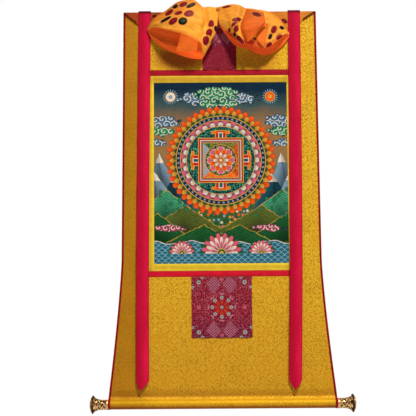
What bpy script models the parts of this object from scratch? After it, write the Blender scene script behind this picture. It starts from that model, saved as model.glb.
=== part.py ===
"""A thangka: a painting on canvas, framed in strips and mounted on a gold brocade scroll.

The scroll hangs from its top edge. +X is the right hand of someone who faces the painting, -Y points
at them and +Z is up. The origin is the middle of the top edge, in the middle of the cloth. Metres.
"""

import math
from collections import namedtuple

import bpy
from mathutils import Vector

CLOTH = 0.002  # thickness of the brocade, the strips and the painted canvas
SILK = 0.0012  # thickness of the veil, the ribbons and the sewn-on patches
GAP = 0.0003  # between two pieces that touch

PAINTING_WIDTH = 0.448
PAINTING_HEIGHT = 0.610
GOLD_STRIP = 0.0235
CRIMSON_STRIP = 0.020
FRAME_TOP = -0.200  # upper edge of the crimson frame
FRAME_BOTTOM = FRAME_TOP - PAINTING_HEIGHT - 2 * (GOLD_STRIP + CRIMSON_STRIP)
GOLD_HALF = PAINTING_WIDTH / 2 + GOLD_STRIP
CRIMSON_HALF = GOLD_HALF + CRIMSON_STRIP

TOP_HALF = 0.326  # half the scroll's width at the top edge
STRAIGHT_HALF = 0.3315  # where the straight sides end
HEM_HALF = 0.373  # at the rod
STRAIGHT_END = -0.840
FLARE_POWER = 1.28  # how gently the flare begins
WING_CURL = 0.007  # how far the outer edges curl back

ROD_Z = -1.3115
SLEEVE_RADIUS = 0.015  # at the middle of the cloth
SLEEVE_START = -1.288  # where the cloth leaves its plane to go round the rod
SLEEVE_FROM = 50  # degrees from the top, forward, where it reaches the rod
SLEEVE_TO = 322
SLEEVE_STEPS = 20
SIDE_STEPS = 16
TURN_IN = 0.008  # the edge that the binding holds flat
HEM_FLANGE = 0.012  # the turned-up hem behind the sleeve
HEM_SETBACK = 0.010  # how much shorter that hem is at each end
ROD_RADIUS = 0.0137
ROD_Y = 0.0012
ROD_HALF = 0.393

TOP_PATCH = (0.114, 0.200, -0.002)  # width, height, middle
BOTTOM_PATCH = (0.200, 0.200, -0.001)
PATCH = 0.0010  # thickness of the patches

BINDING_LEG = 0.006
BINDING_CLOTH = 0.0008

RIBBON_WIDTH = 0.042
RIBBON_POINT = 0.030  # length of the rounded point at its end
POINT_SHAPE = ((0.5, 0.63), (0.8, 0.36), (1.0, 0.06))  # shares of that length and of the width
POINT_LEAN = {"left": -0.0068, "right": -0.0005}  # how far each tip lies to the right

FINIAL_START = HEM_HALF + 0.0018
SIDES = (("left", -1), ("right", 1))

parts = bpy.data.collections.new("thangka")
folds = bpy.data.collections.new("joined_forms")


def clear_scene():
    for obj in list(bpy.data.objects):
        bpy.data.objects.remove(obj)
    for group in (parts, folds):
        bpy.context.scene.collection.children.link(group)


def finish(name, colour, roughness, metallic=0.0):
    """A plain material in the piece's colour."""
    material = bpy.data.materials.new(name)
    material.use_nodes = True
    shader = material.node_tree.nodes["Principled BSDF"]
    shader.inputs["Base Color"].default_value = (*colour, 1)
    shader.inputs["Roughness"].default_value = roughness
    shader.inputs["Metallic"].default_value = metallic
    return material


def place(obj, material, group=parts):
    for old in obj.users_collection:
        old.objects.unlink(obj)
    group.objects.link(obj)
    obj.data.materials.clear()
    obj.data.materials.append(material)
    obj.data.shade_smooth()
    obj.data.set_sharp_from_angle(angle=math.radians(35))
    return obj


def box(name, material, x, y, z):
    """A flat piece between the two ends that each pair names."""
    ends = [sorted(pair) for pair in (x, y, z)]
    bpy.ops.mesh.primitive_cube_add(size=1, location=[(low + high) / 2 for low, high in ends])
    obj = bpy.context.object
    obj.name = obj.data.name = name
    obj.scale = [high - low for low, high in ends]
    bpy.ops.object.transform_apply(location=False, rotation=False, scale=True)
    return place(obj, material)


def surface(name, material, rows, group=parts, closed=False):
    """A loft through rows of points; closed makes each row a ring and fills the two ends."""
    count = len(rows[0])
    points = [point for row in rows for point in row]
    faces = []
    for i in range(len(rows) - 1):
        for j in range(count if closed else count - 1):
            k = (j + 1) % count
            faces.append((i * count + j, i * count + k, (i + 1) * count + k, (i + 1) * count + j))
    if closed:
        last = (len(rows) - 1) * count
        faces.append(tuple(range(count - 1, -1, -1)))
        faces.append(tuple(range(last, last + count)))
    mesh = bpy.data.meshes.new(name)
    mesh.from_pydata([tuple(point) for point in points], [], faces)
    mesh.update()
    return place(bpy.data.objects.new(name, mesh), material, group)


def thicken(obj, thickness, even=True):
    """Gives a sheet its thickness, half on each side; a sharp crease needs it not even."""
    solidify = obj.modifiers.new("Thickness", "SOLIDIFY")
    solidify.thickness = thickness
    solidify.offset = 0
    solidify.use_even_offset = even
    return obj


def through(points, steps):
    """A smooth curve through the points, with that many steps from each to the next."""
    ends = [points[0] * 2 - points[1], *points, points[-1] * 2 - points[-2]]
    curve = []
    for a, b, c, d in zip(ends, ends[1:], ends[2:], ends[3:]):
        for step in range(steps):
            t = step / steps
            curve.append(
                (2 * b + (c - a) * t + (2 * a - 5 * b + 4 * c - d) * t**2
                 + (3 * b - a - 3 * c + d) * t**3) / 2
            )
    return [*curve, points[-1]]


# The scroll's outline and the way its cloth lies.


def half_width(z):
    """Half the scroll's width at a height: nearly straight, then flaring to the rod."""
    if z > STRAIGHT_END:
        return TOP_HALF + (STRAIGHT_HALF - TOP_HALF) * z / STRAIGHT_END
    down = min(1, (STRAIGHT_END - z) / (STRAIGHT_END - SLEEVE_START))
    return STRAIGHT_HALF + (HEM_HALF - STRAIGHT_HALF) * down**FLARE_POWER


def curl(x, z):
    """How far back the cloth lies: the wings outside the frame curl back between top and rod."""
    out = max(0, (abs(x) - CRIMSON_HALF) / (STRAIGHT_HALF - CRIMSON_HALF))
    along = max(0, min(1, z / SLEEVE_START))
    return WING_CURL * out**2 * math.sin(math.pi * along) ** 0.7


def sleeve_path():
    """(half width, y, z) down the bottom panel, round the rod and up to the end of the hem.

    y is counted from where the cloth lies: the panel's own curl is added to it.
    """
    top = FRAME_BOTTOM - GAP
    heights = [top + (SLEEVE_START - top) * i / 12 for i in range(13)]
    path = [(half_width(z), 0, z) for z in heights]
    path.append((HEM_HALF, -0.0016, SLEEVE_START - 0.0045))
    for i in range(SLEEVE_STEPS + 1):
        turn = math.radians(SLEEVE_FROM + (SLEEVE_TO - SLEEVE_FROM) * i / SLEEVE_STEPS)
        setback = HEM_SETBACK * max(0, i - SLEEVE_STEPS + 2) / 2
        y = ROD_Y - SLEEVE_RADIUS * math.sin(turn)
        path.append((HEM_HALF - setback, y, ROD_Z + SLEEVE_RADIUS * math.cos(turn)))
    behind = CLOTH + 2 * GAP
    path.append((HEM_HALF - HEM_SETBACK, behind + 0.0005, SLEEVE_START + 0.001))
    path.append((HEM_HALF - HEM_SETBACK, behind, SLEEVE_START + HEM_FLANGE))
    return path


# The pieces in the plane of the scroll.


def make_brocade(material):
    """Top panel, two side panels and the flared bottom panel with the sleeve for the rod."""
    flat = (-CLOTH / 2, CLOTH / 2)
    box("brocade_top", material, (-CRIMSON_HALF, CRIMSON_HALF), flat, (FRAME_TOP + GAP, 0))
    inner = CRIMSON_HALF + GAP
    heights = [FRAME_BOTTOM * i / SIDE_STEPS for i in range(SIDE_STEPS + 1)]
    for side, sign in SIDES:
        rows = []
        for z in heights:
            edge = half_width(z)
            turn = edge - TURN_IN
            across = [inner + (turn - inner) * i / 4 for i in range(5)] + [edge]
            rows.append([Vector((sign * x, curl(x, z), z)) for x in across[::sign]])
        thicken(surface("brocade_" + side, material, rows), CLOTH)
    rows = []
    for edge, y, z in sleeve_path():
        turn = edge - TURN_IN
        half = [0, inner / 2, inner, (2 * inner + turn) / 3, (inner + 2 * turn) / 3, turn, edge]
        across = [-x for x in half[:0:-1]] + half
        rows.append([Vector((x, y + curl(x, z), z)) for x in across])
    thicken(surface("brocade_bottom", material, rows), CLOTH)


def make_frame(canvas, gold, crimson):
    """The painted canvas between a gold strip and a crimson strip on each side."""
    flat = (-CLOTH / 2, CLOTH / 2)
    half = PAINTING_WIDTH / 2
    painting_top = FRAME_TOP - GOLD_STRIP - CRIMSON_STRIP
    painting_bottom = painting_top - PAINTING_HEIGHT
    box("painting", canvas, (-half, half), flat, (painting_bottom, painting_top))
    layers = (
        ("gold_strip", gold, GOLD_STRIP, half, painting_top, painting_bottom),
        ("crimson_strip", crimson, CRIMSON_STRIP, GOLD_HALF,
         painting_top + GOLD_STRIP, painting_bottom - GOLD_STRIP),
    )
    for name, material, strip, inside, top, bottom in layers:
        outside = inside + strip
        across = (-inside, inside)
        box(name + "_top", material, across, flat, (top + GAP, top + strip))
        box(name + "_bottom", material, across, flat, (bottom - GAP, bottom - strip))
        for side, sign in SIDES:
            ends = (bottom - strip, top + strip)
            box(f"{name}_{side}", material, (sign * (inside + GAP), sign * outside), flat, ends)


def make_patches(material):
    """The two brocade doors, each sewn on the front of its panel."""
    front = -CLOTH / 2 - GAP
    for name, patch, top in (
        ("door_patch_top", TOP_PATCH, -GAP),
        ("door_patch_bottom", BOTTOM_PATCH, FRAME_BOTTOM - 2 * GAP),
    ):
        width, height, middle = patch
        bottom = max(top - height, FRAME_TOP + GAP) if top > FRAME_TOP else top - height
        across = (middle - width / 2, middle + width / 2)
        box(name, material, across, (front - PATCH, front), (bottom, top))


def make_bindings(material):
    """A folded strip round each side edge, down to the sleeve and round its end.

    A section is in distances outward and forward of the cloth's edge. Above the sleeve the inner
    leg ends, because the rod is there.
    """
    near, far = CLOTH / 2 + GAP, CLOTH / 2 + GAP + BINDING_CLOTH
    rim = GAP + BINDING_CLOTH
    face = CLOTH / 2
    front = [(-BINDING_LEG, near), (-BINDING_LEG, far), (rim - 0.0003, far), (rim, far - 0.0005)]
    bend = [(rim, 0.0005 - far), (rim - 0.0003, -far)]
    corner = [(GAP, -near), (GAP, near)]
    folded = front + bend + [(-BINDING_LEG, -far), (-BINDING_LEG, -near)] + corner
    cut = front + bend + [(0.0001, -far), (0.0001, -near)] + corner
    tucked = [(out, up + GAP) for out, up in front]
    tucked += [(rim, 0.0004 - face), (rim - 0.0001, -face), (rim - 0.0003, -face),
               (2 * GAP + 0.0001, -face), (2 * GAP, 0.0003 - face), (2 * GAP, near + GAP)]
    flat = [(half_width(z), 0, z) for z in [FRAME_BOTTOM * i / SIDE_STEPS for i in range(SIDE_STEPS)]]
    path = flat + sleeve_path()[: -SLEEVE_STEPS // 4]
    panel_end = len(flat) + 12
    for side, sign in SIDES:
        rings = []
        for i, (x, y, z) in enumerate(path):
            edge = Vector((x, y + curl(x, z), z))
            inward = Vector((x - TURN_IN, y + curl(x - TURN_IN, z), z))
            outward = (edge - inward).normalized()
            before, after = path[max(i - 1, 0)], path[min(i + 1, len(path) - 1)]
            down = Vector((0, after[1] - before[1], after[2] - before[2])).normalized()
            forward = down.cross(outward).normalized()
            section = folded if i < panel_end - 2 else cut if i < panel_end else tucked
            ring = []
            for out, up in section:
                point = edge + outward * out + forward * up
                ring.append(Vector((sign * point.x, point.y, point.z)))
            rings.append(ring[::-sign])
        surface("binding_" + side, material, rings, closed=True)


RibbonRow = namedtuple("RibbonRow", "z left right stand")
RIBBON_ROWS = (
    RibbonRow(-0.060, -0.2546, 0.2523, -0.0021),
    RibbonRow(-0.012, -0.2546, 0.2523, -0.0022),
    RibbonRow(-0.002, -0.2546, 0.2523, -0.0025),
    RibbonRow(0.0030, -0.2546, 0.2523, -0.0012),
    RibbonRow(0.0042, -0.2546, 0.2523, 0.0014),
    RibbonRow(0.0028, -0.2546, 0.2523, 0.0040),
    RibbonRow(-0.004, -0.2546, 0.2523, 0.0052),
    RibbonRow(-0.016, -0.2546, 0.2523, 0.0050),
    RibbonRow(-0.045, -0.2546, 0.2523, 0.0049),
    RibbonRow(-0.110, -0.2555, 0.2520, 0.0049),
    RibbonRow(-0.330, -0.2580, 0.2510, 0.0062),
    RibbonRow(-0.600, -0.2605, 0.2492, 0.0085),
    RibbonRow(-0.860, -0.2616, 0.2462, 0.0105),
    RibbonRow(-1.080, -0.2618, 0.2412, 0.0120),
    RibbonRow(-1.234, -0.2616, 0.2378, 0.0130),
)


def make_ribbons(material):
    """Two ribbons that pass over the top edge and hang in front, each ending in a point."""
    for side, _ in SIDES:
        line = [Vector((getattr(row, side), -row.stand, row.z)) for row in RIBBON_ROWS]
        line = through(line, 4)
        rows = []
        for point in line:
            rows.append([point + Vector((RIBBON_WIDTH * i / 4 - RIBBON_WIDTH / 2, 0, 0))
                         for i in range(5)])
        for along, share in POINT_SHAPE:
            width = RIBBON_WIDTH * share
            middle = line[-1] + Vector((POINT_LEAN[side], 0, -RIBBON_POINT)) * along
            rows.append([middle + Vector((width * i / 4 - width / 2, 0, 0)) for i in range(5)])
        thicken(surface("ribbon_" + side, material, rows), SILK)


# The veil: one silk cloth, flat behind and gathered up into two swags beside a knot.

Gore = namedtuple("Gore", "lip mid crown back")
LEFT_SWAG = (  # from the outer tip to the knot, in millimetres, each (x, forward, z)
    Gore((-245, 11.5, -64), (-244, 13, -61), (-243, 12.5, -57), (-243, 9, -70)),
    Gore((-227, 30, -63), (-230, 31, -53), (-232, 19, -37), (-232, 9, -90)),
    Gore((-203, 50, -69), (-208, 48, -46), (-210, 23, -19), (-203, 8, -119)),
    Gore((-173, 64, -81), (-179, 60, -47), (-179, 27, -1), (-176, 8, -135)),
    Gore((-147, 72, -90), (-149, 68, -43), (-146, 31, 23), (-149, 8, -145)),
    Gore((-122, 75, -97), (-117, 72, -41), (-117, 33, 31), (-121, 9, -156)),
    Gore((-99, 74, -108), (-87, 70, -47), (-86, 33, 31), (-98, 10, -162)),
    Gore((-76, 68, -119), (-61, 62, -61), (-66, 31, 17), (-80, 12, -165)),
    Gore((-64, 57, -125), (-48, 40, -66), (-55, 25, 10), (-69, 14, -166)),
    Gore((-60, 44, -144), (-29, 50, -74), (-34, 29, 10), (-63, 16, -167)),
    Gore((-58, 26, -164), (-14, 28, -78), (-5, 18, 8), (-60, 19, -168)),
)
RIGHT_SWAG = (  # from the knot to the outer tip
    Gore((23, 24, -80), (-2, 27, -42), (-5, 18, 11), (29, 10, -94)),
    Gore((43, 44, -102), (31, 48, -46), (35, 28, 17), (49, 8, -116)),
    Gore((67, 56, -125), (55, 62, -64), (65, 32, 13), (71, 8, -125)),
    Gore((83, 52, -125), (68, 51, -72), (85, 28, 4), (91, 8, -130)),
    Gore((98, 50, -126), (108, 50, -70), (111, 28, 1), (108, 8, -137)),
    Gore((113, 48, -132), (130, 49, -68), (130, 27, -2), (125, 8, -146)),
    Gore((137, 45, -138), (150, 46, -66), (148, 25, -4), (145, 8, -152)),
    Gore((163, 41, -134), (168, 42, -74), (168, 23, -9), (166, 8, -151)),
    Gore((182, 38, -119), (181, 39, -78), (187, 22, -22), (186, 8, -141)),
    Gore((200, 33, -104), (199, 34, -77), (205, 20, -37), (203, 8, -128)),
    Gore((218, 25, -87), (217, 26, -75), (219, 17, -62), (221, 9, -109)),
    Gore((235, 11.5, -82), (234, 13, -79), (233, 12.5, -76), (234, 9, -90)),
)
Pleat = namedtuple("Pleat", "top middle bottom")
LEFT_INNER_PLEAT = (  # inside the left swag, from the back cloth forward and to the right
    Pleat((-128, 7, -92), (-136, 7, -104), (-146, 7, -130)),
    Pleat((-129, 30, -76), (-136, 30, -110), (-145, 26, -140)),
    Pleat((-105, 40, -78), (-108, 38, -112), (-112, 32, -146)),
    Pleat((-71, 50, -84), (-74, 46, -116), (-78, 38, -143)),
)
RIGHT_OUTER_PLEAT = (  # the large flap on the front of the right swag
    Pleat((85, 26, 1), (68, 50, -70), (88, 50, -124)),
    Pleat((94, 36, -3), (83, 64, -70), (91, 63, -124)),
    Pleat((118, 40, -8), (116, 70, -69), (104, 68, -111)),
    Pleat((138, 40, -13), (140, 69, -63), (126, 67, -90)),
    Pleat((147, 38, -16), (150, 58, -46), (151, 62, -66)),
)
RIGHT_INNER_PLEAT = (  # the small flap under it
    Pleat((114, 45, -62), (112, 45, -79), (111, 45, -94)),
    Pleat((131, 55, -52), (131, 56, -86), (128, 55, -118)),
    Pleat((163, 54, -62), (156, 55, -99), (145, 53, -137)),
)
VeilRow = namedtuple("VeilRow", "x edge lift")
VEIL_ROWS = (  # the flat layer's lower edge, and how far it lifts towards the knot, in millimetres
    VeilRow(-323, -6, 0), VeilRow(-275, -44, 0), VeilRow(-246, -66, 0), VeilRow(-120, -36, 0),
    VeilRow(-60, -25, 1), VeilRow(-28, -18, 5), VeilRow(-6, -12, 9), VeilRow(16, -18, 5),
    VeilRow(48, -25, 1), VeilRow(110, -42, 0), VeilRow(238, -78, 0), VeilRow(275, -36, 0),
    VeilRow(323, -3, 0),
)
VEIL_Y = -CLOTH / 2 - GAP - PATCH - GAP - SILK / 2
KNOT = ((-0.005, -0.0150, 0.001), (0.010, 0.0110, 0.011))  # middle, radii
TAPE = 0.005


def folded_cloth(name, material, lines, steps_along, steps_across):
    """A sheet through lines of (x, forward, z) in millimetres."""
    curves = [through([Vector((x, -forward, z)) / 1000 for x, forward, z in line], steps_along)
              for line in lines]
    columns = [through(list(column), steps_across) for column in zip(*curves)]
    rows = [list(row) for row in zip(*columns)]
    return thicken(surface(name, material, rows, folds), SILK, even=False)


def swag_line(gore):
    """From the front lip up, over the crown, and down behind to the back lip."""
    behind = (gore.mid[0], gore.back[1], gore.mid[2])
    return (gore.lip, gore.mid, gore.crown, behind, gore.back)


def make_veil(material, tape):
    """Flat layer, two swags and the knot, joined into one cloth, with tape on its lower edges."""
    rows = []
    for x, edge, lift in VEIL_ROWS:
        rows.append([Vector((x, 1000 * VEIL_Y - lift, edge * i / 3)) / 1000 for i in range(4)])
    veil = thicken(surface("veil", material, rows), SILK)
    bpy.ops.mesh.primitive_uv_sphere_add(segments=16, ring_count=10, location=KNOT[0])
    knot = place(bpy.context.object, material, folds)
    knot.name = "knot"
    knot.scale = KNOT[1]
    swags = [folded_cloth(name, material, [swag_line(gore) for gore in gores], 4, 2)
             for name, gores in (("swag_left", LEFT_SWAG), ("swag_right", RIGHT_SWAG))]
    pleats = [folded_cloth(name, material, lines, 3, 3)
              for name, lines in (("pleat_left", LEFT_INNER_PLEAT),
                                  ("pleat_right_outer", RIGHT_OUTER_PLEAT),
                                  ("pleat_right_inner", RIGHT_INNER_PLEAT))]
    for form in (knot, *swags, *pleats):
        form.hide_render = True
        form.display_type = "WIRE"
        union = veil.modifiers.new("Join " + form.name, "BOOLEAN")
        union.operation = "UNION"
        union.object = form
    front = VEIL_Y - SILK / 2 - GAP
    for (side, _), (corner, under) in zip(SIDES, ((0, 1), (-1, -2))):
        a, b = [Vector((VEIL_ROWS[i].x / 1000, front - 0.0003, VEIL_ROWS[i].edge / 1000))
                for i in (corner, under)]
        b = a + (b - a) * 0.84
        up = Vector((0, 0, TAPE))
        thicken(surface("veil_tape_" + side, tape, [[a, a + up * 0.7], [b, b + up]]), 0.0006)


# The rod and its knobs.

FINIAL_PROFILE = (  # (along the rod from the sleeve, radius), in millimetres
    (0, 14.1), (0, 16.2), (0.8, 17.0), (6, 16.7), (14, 16.5), (22, 16.7), (30, 17.5),
    (36, 18.9), (41, 21.0), (45, 23.9), (48, 27.2), (49.2, 28.8), (51.4, 29.1), (52.4, 28.2),
    (52.8, 25.4), (54.2, 25.0), (56.6, 21.5), (58.6, 15.0), (59.6, 7.5), (59.9, 0),
)
SOCKET = (0.0205, 0.0141)  # depth, radius


def make_rod(wood, brass):
    """A wooden rod through the sleeve, with a turned brass knob on each end."""
    bpy.ops.mesh.primitive_cylinder_add(
        vertices=48, radius=ROD_RADIUS, depth=2 * ROD_HALF,
        location=(0, ROD_Y, ROD_Z), rotation=(0, math.pi / 2, 0))
    rod = place(bpy.context.object, wood)
    rod.name = "rod"
    for side, sign in SIDES:
        profile = [(0, SOCKET[0]), (SOCKET[1], SOCKET[0])]
        profile += [(radius / 1000, along / 1000) for along, radius in FINIAL_PROFILE]
        mesh = bpy.data.meshes.new("finial_" + side)
        edges = [(i, i + 1) for i in range(len(profile) - 1)]
        mesh.from_pydata([(radius, 0, along) for radius, along in profile], edges, [])
        knob = place(bpy.data.objects.new("finial_" + side, mesh), brass)
        knob.location = (sign * FINIAL_START, ROD_Y, ROD_Z)
        knob.rotation_euler = (0, sign * math.pi / 2, 0)
        screw = knob.modifiers.new("Turned", "SCREW")
        screw.steps = screw.render_steps = 40
        screw.use_merge_vertices = True
        screw.merge_threshold = 0.00005
        screw.use_normal_flip = True


clear_scene()
make_brocade(finish("gold_brocade", (0.62, 0.34, 0.03), 0.42))
make_frame(
    finish("painted_canvas", (0.10, 0.12, 0.12), 0.7),
    finish("gold_satin", (0.75, 0.45, 0.06), 0.4),
    finish("crimson_satin", (0.50, 0.02, 0.05), 0.45),
)
make_patches(finish("maroon_brocade", (0.28, 0.02, 0.05), 0.5))
make_bindings(finish("maroon_binding", (0.20, 0.01, 0.01), 0.5))
make_ribbons(finish("crimson_ribbon", (0.55, 0.01, 0.04), 0.45))
make_veil(finish("orange_silk", (0.90, 0.38, 0.04), 0.35), finish("veil_tape", (0.30, 0.01, 0.01), 0.5))
make_rod(finish("rod_wood", (0.25, 0.13, 0.06), 0.6), finish("aged_brass", (0.42, 0.30, 0.13), 0.35, 1.0))
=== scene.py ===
"""A thangka that hangs from its top edge: a painted canvas, framed in satin strips and mounted on gold
brocade, under a silk veil gathered into two swags, with a rod in the hem at its foot."""

import math
from collections import namedtuple

import bpy
import numpy as np
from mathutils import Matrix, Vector
from mathutils.bvhtree import BVHTree


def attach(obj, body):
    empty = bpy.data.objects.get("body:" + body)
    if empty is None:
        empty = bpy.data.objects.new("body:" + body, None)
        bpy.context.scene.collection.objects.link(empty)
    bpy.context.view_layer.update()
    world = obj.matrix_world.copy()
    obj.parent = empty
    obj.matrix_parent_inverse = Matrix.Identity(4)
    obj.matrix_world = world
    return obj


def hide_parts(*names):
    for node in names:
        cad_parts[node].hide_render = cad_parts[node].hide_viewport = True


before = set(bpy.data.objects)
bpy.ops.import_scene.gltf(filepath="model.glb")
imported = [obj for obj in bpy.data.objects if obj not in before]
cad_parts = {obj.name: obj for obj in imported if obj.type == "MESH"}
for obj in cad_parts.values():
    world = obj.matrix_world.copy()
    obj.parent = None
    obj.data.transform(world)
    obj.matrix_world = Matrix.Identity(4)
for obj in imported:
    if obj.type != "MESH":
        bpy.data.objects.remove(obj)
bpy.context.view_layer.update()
bpy.ops.object.select_all(action="DESELECT")

# The room: the camera stands low, a little left of the scroll, and looks slightly up. One soft lamp
# high on the right makes the shadows of the swags and ribbons, over a pale floor in a white studio.

CAMERA_PLACE = (-0.0442, -2.6, -0.880)
CAMERA_RISE = 4.646  # degrees that it looks up
CAMERA_ROLL = -0.42

bpy.ops.object.camera_add(location=CAMERA_PLACE, rotation=(math.radians(90 + CAMERA_RISE), 0, 0))
camera = bpy.context.object
camera.rotation_euler.rotate_axis("Z", math.radians(CAMERA_ROLL))
camera.data.sensor_width = 36
camera.data.lens = 67.67
bpy.context.scene.camera = camera

Lamp = namedtuple("Lamp", "place aim size power tint")
LAMPS = (
    Lamp((2.1, -6.4, 8.6), (0, 0, -0.60), 1.7, 1900, (1.0, 0.98, 0.94)),  # key
    Lamp((-1.6, -3.4, -0.4), (0, 0, -0.6), 2.2, 6, (1.0, 0.70, 0.50)),  # fill, left of the camera
    Lamp((-1.4, 5.2, 0.6), (0, 0, -0.7), 2.4, 190, (1.0, 0.97, 0.92)),  # on the back
)
for lamp in LAMPS:
    way = Vector(lamp.aim) - Vector(lamp.place)
    turned = way.to_track_quat("-Z", "Y").to_euler()
    bpy.ops.object.light_add(type="AREA", location=lamp.place, rotation=turned)
    light = bpy.context.object.data
    light.shape = "DISK"
    light.size, light.energy, light.color = lamp.size, lamp.power, lamp.tint

world = bpy.data.worlds.new("studio")
world.use_nodes = True
nodes, links = world.node_tree.nodes, world.node_tree.links
glow = nodes["Background"]  # a dim warm room lights the part, and what shows behind it is white
glow.inputs["Color"].default_value = (1, 0.56, 0.44, 1)
glow.inputs["Strength"].default_value = 0.11
behind, either, rays = (nodes.new("ShaderNode" + kind) for kind in ("Background", "MixShader", "LightPath"))
behind.inputs["Color"].default_value = (1, 1, 1, 1)
links.new(rays.outputs["Is Camera Ray"], either.inputs[0])
links.new(glow.outputs[0], either.inputs[1])
links.new(behind.outputs[0], either.inputs[2])
links.new(either.outputs[0], nodes["World Output"].inputs[0])
bpy.context.scene.world = world
bpy.context.scene.view_settings.view_transform = "Standard"

paint = bpy.data.materials.new("pale_floor")
paint.use_nodes = True
pale = paint.node_tree.nodes["Principled BSDF"].inputs
pale["Base Color"].default_value = (0.93, 0.93, 0.93, 1)
pale["Roughness"].default_value = 0.9
bpy.ops.mesh.primitive_plane_add(size=12, location=(0, 0, -3.2))
bpy.context.object.name = "floor"
bpy.context.object.data.materials.append(paint)


# The painted canvas: mineral colours on a primed cotton ground, flat between its strips. Its picture is
# a plain traditional one: a mandala over hills, blossoms and water with lotuses, under curled clouds.


class Dye:
    """One socket of a material. Sums with it add Math nodes, and node() adds any other node."""

    def __init__(self, tree, socket=None):
        self.tree, self.socket = tree, socket

    def node(self, kind, settings=None, values=None, out=0):
        """A new node of that kind. values feed its inputs, and out names the output that is given back."""
        made = self.tree.nodes.new("ShaderNode" + kind)
        for name, value in (settings or {}).items():
            if name == "stops":
                set_stops(made.color_ramp, value)
            else:
                setattr(made, name, value)
        for name, value in (values or {}).items():
            if isinstance(value, Dye):
                self.tree.links.new(value.socket, made.inputs[name])
            else:
                made.inputs[name].default_value = value
        return Dye(self.tree, made.outputs[out])

    def other(self, out):
        """Another output of the node that this socket belongs to."""
        return Dye(self.tree, self.socket.node.outputs[out])

    def math(self, operation, *values):
        """A Math node whose first value is this."""
        return self.node("Math", {"operation": operation}, dict(enumerate((self, *values))))

    def __add__(self, other):
        return self.math("ADD", other)

    def __mul__(self, other):
        return self.math("MULTIPLY", other)

    def __sub__(self, other):
        return self.math("SUBTRACT", other)

    def __truediv__(self, other):
        return self.math("DIVIDE", other)

    def __rsub__(self, other):
        return self * -1 + other

    def __abs__(self):
        return self.math("ABSOLUTE")

    __radd__, __rmul__ = __add__, __mul__

    def under(self, limit, soft):
        """1 where this is under the limit and 0 over it, with an edge that soft."""
        return self.node("MapRange", {"interpolation_type": "SMOOTHSTEP"},
                         {"Value": self, "From Min": limit + soft, "From Max": limit - soft})

    def cell(self, size, shift=0.0):
        """From -0.5 to 0.5 across each of the cells of that size that this is cut into."""
        return self.math("MULTIPLY_ADD", 1 / size, shift + 64).math("FRACT") - 0.5

    def between(self, low, high):
        """1 from low to high and 0 elsewhere."""
        return self.math("COMPARE", (low + high) / 2, (high - low) / 2)

    def over(self, ground, colour):
        """This mask lays a colour on a ground."""
        values = {0: self, 6: ground, 7: colour}
        for place in (6, 7):
            if not isinstance(values[place], Dye):
                values[place] = (*values[place], 1)
        return self.node("Mix", {"data_type": "RGBA"}, values, out=2)

    def shade(self, colour, low, high):
        """This, from 0 to 1, scales a colour from low to high."""
        scale = self * (high - low) + low
        return self.node("VectorMath", {"operation": "SCALE"}, {0: colour, "Scale": scale})


def set_stops(ramp, stops):
    """Gives a colour ramp its stops, each a place from 0 to 1 and the colour there."""
    while len(ramp.elements) < len(stops):
        ramp.elements.new(0.5)
    for stop, (place, colour) in zip(list(ramp.elements), stops):
        stop.position, stop.color = place, (*colour, 1)


def finish(name, roughness, **plain):
    """A new material, its shader, and a Dye to start from. plain are the shader's own settings."""
    material = bpy.data.materials.new(name)
    material.use_nodes = True
    shader = material.node_tree.nodes["Principled BSDF"]
    shader.inputs["Roughness"].default_value = roughness
    for socket, value in plain.items():
        shader.inputs[socket.replace("_", " ")].default_value = value
    return material, shader, Dye(material.node_tree)


def on_cloth(dye):
    """How far across and along the cloth, in millimetres, from the piece's own UV map."""
    across = dye.node("SeparateXYZ", values={0: dye.node("TexCoord", out="UV")})
    return across * 1000, across.other("Y") * 1000


def grain(dye, across, along, size, detail=2):
    """Noise from 0 to 1 with spots of that size in millimetres."""
    place = dye.node("CombineXYZ", values={0: across / size, 1: along / size})
    return dye.node("TexNoise", values={"Vector": place, "Scale": 1, "Detail": detail})


def faces_front(dye):
    """1 on the side of a cloth that faces the room and 0 on its back."""
    way = dye.node("SeparateXYZ", values={0: dye.node("NewGeometry", out="True Normal")})
    return way.other("Y").math("LESS_THAN", 0)


def feed(shader, dye, socket="Base Color"):
    """Gives one of the shader's sockets its colour or number."""
    dye.tree.links.new(dye.socket, shader.inputs[socket])


def raise_threads(shader, height, depth):
    """Bump of that depth in millimetres, from a height that runs from 0 to 1."""
    bump = height.node("Bump", values={"Height": height, "Distance": depth / 1000, "Strength": 1})
    bump.tree.links.new(bump.socket, shader.inputs["Normal"])


def threads(across, along, pitch):
    """The height of a plain weave of that pitch."""
    over = (across * (math.pi / pitch)).math("SINE")
    under = (along * (math.pi / pitch)).math("SINE")
    return (over * under + 1) * 0.5


def hanging(x, z):
    """How far back the cloth hangs: its outer wings curl back, and all of it ripples a little."""
    out = np.clip((np.abs(x) - 0.2675) / 0.064, 0, None)
    down = np.clip(-np.asarray(z) / 1.288, 0, 1)
    curl = 0.007 * out**2 * np.sin(np.pi * down) ** 0.7
    ripple = 0.0006 * np.sin(9 * x + 5 * z + 1) + 0.0004 * np.sin(21 * x - 8 * z)
    return curl + ripple * np.sin(np.pi * down)


def lay_out(name, places, faces, material):
    """A new piece at the origin, alone selected, from its corners' places and its faces."""
    mesh = bpy.data.meshes.new(name)
    mesh.from_pydata(places.reshape(-1, 3).tolist(), [], faces.tolist())
    mesh.materials.append(material)
    piece = bpy.data.objects.new(name, mesh)
    bpy.context.scene.collection.objects.link(piece)
    bpy.ops.object.select_all(action="DESELECT")
    bpy.context.view_layer.objects.active = piece
    piece.select_set(True)
    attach(piece, "root")
    return piece


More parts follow.
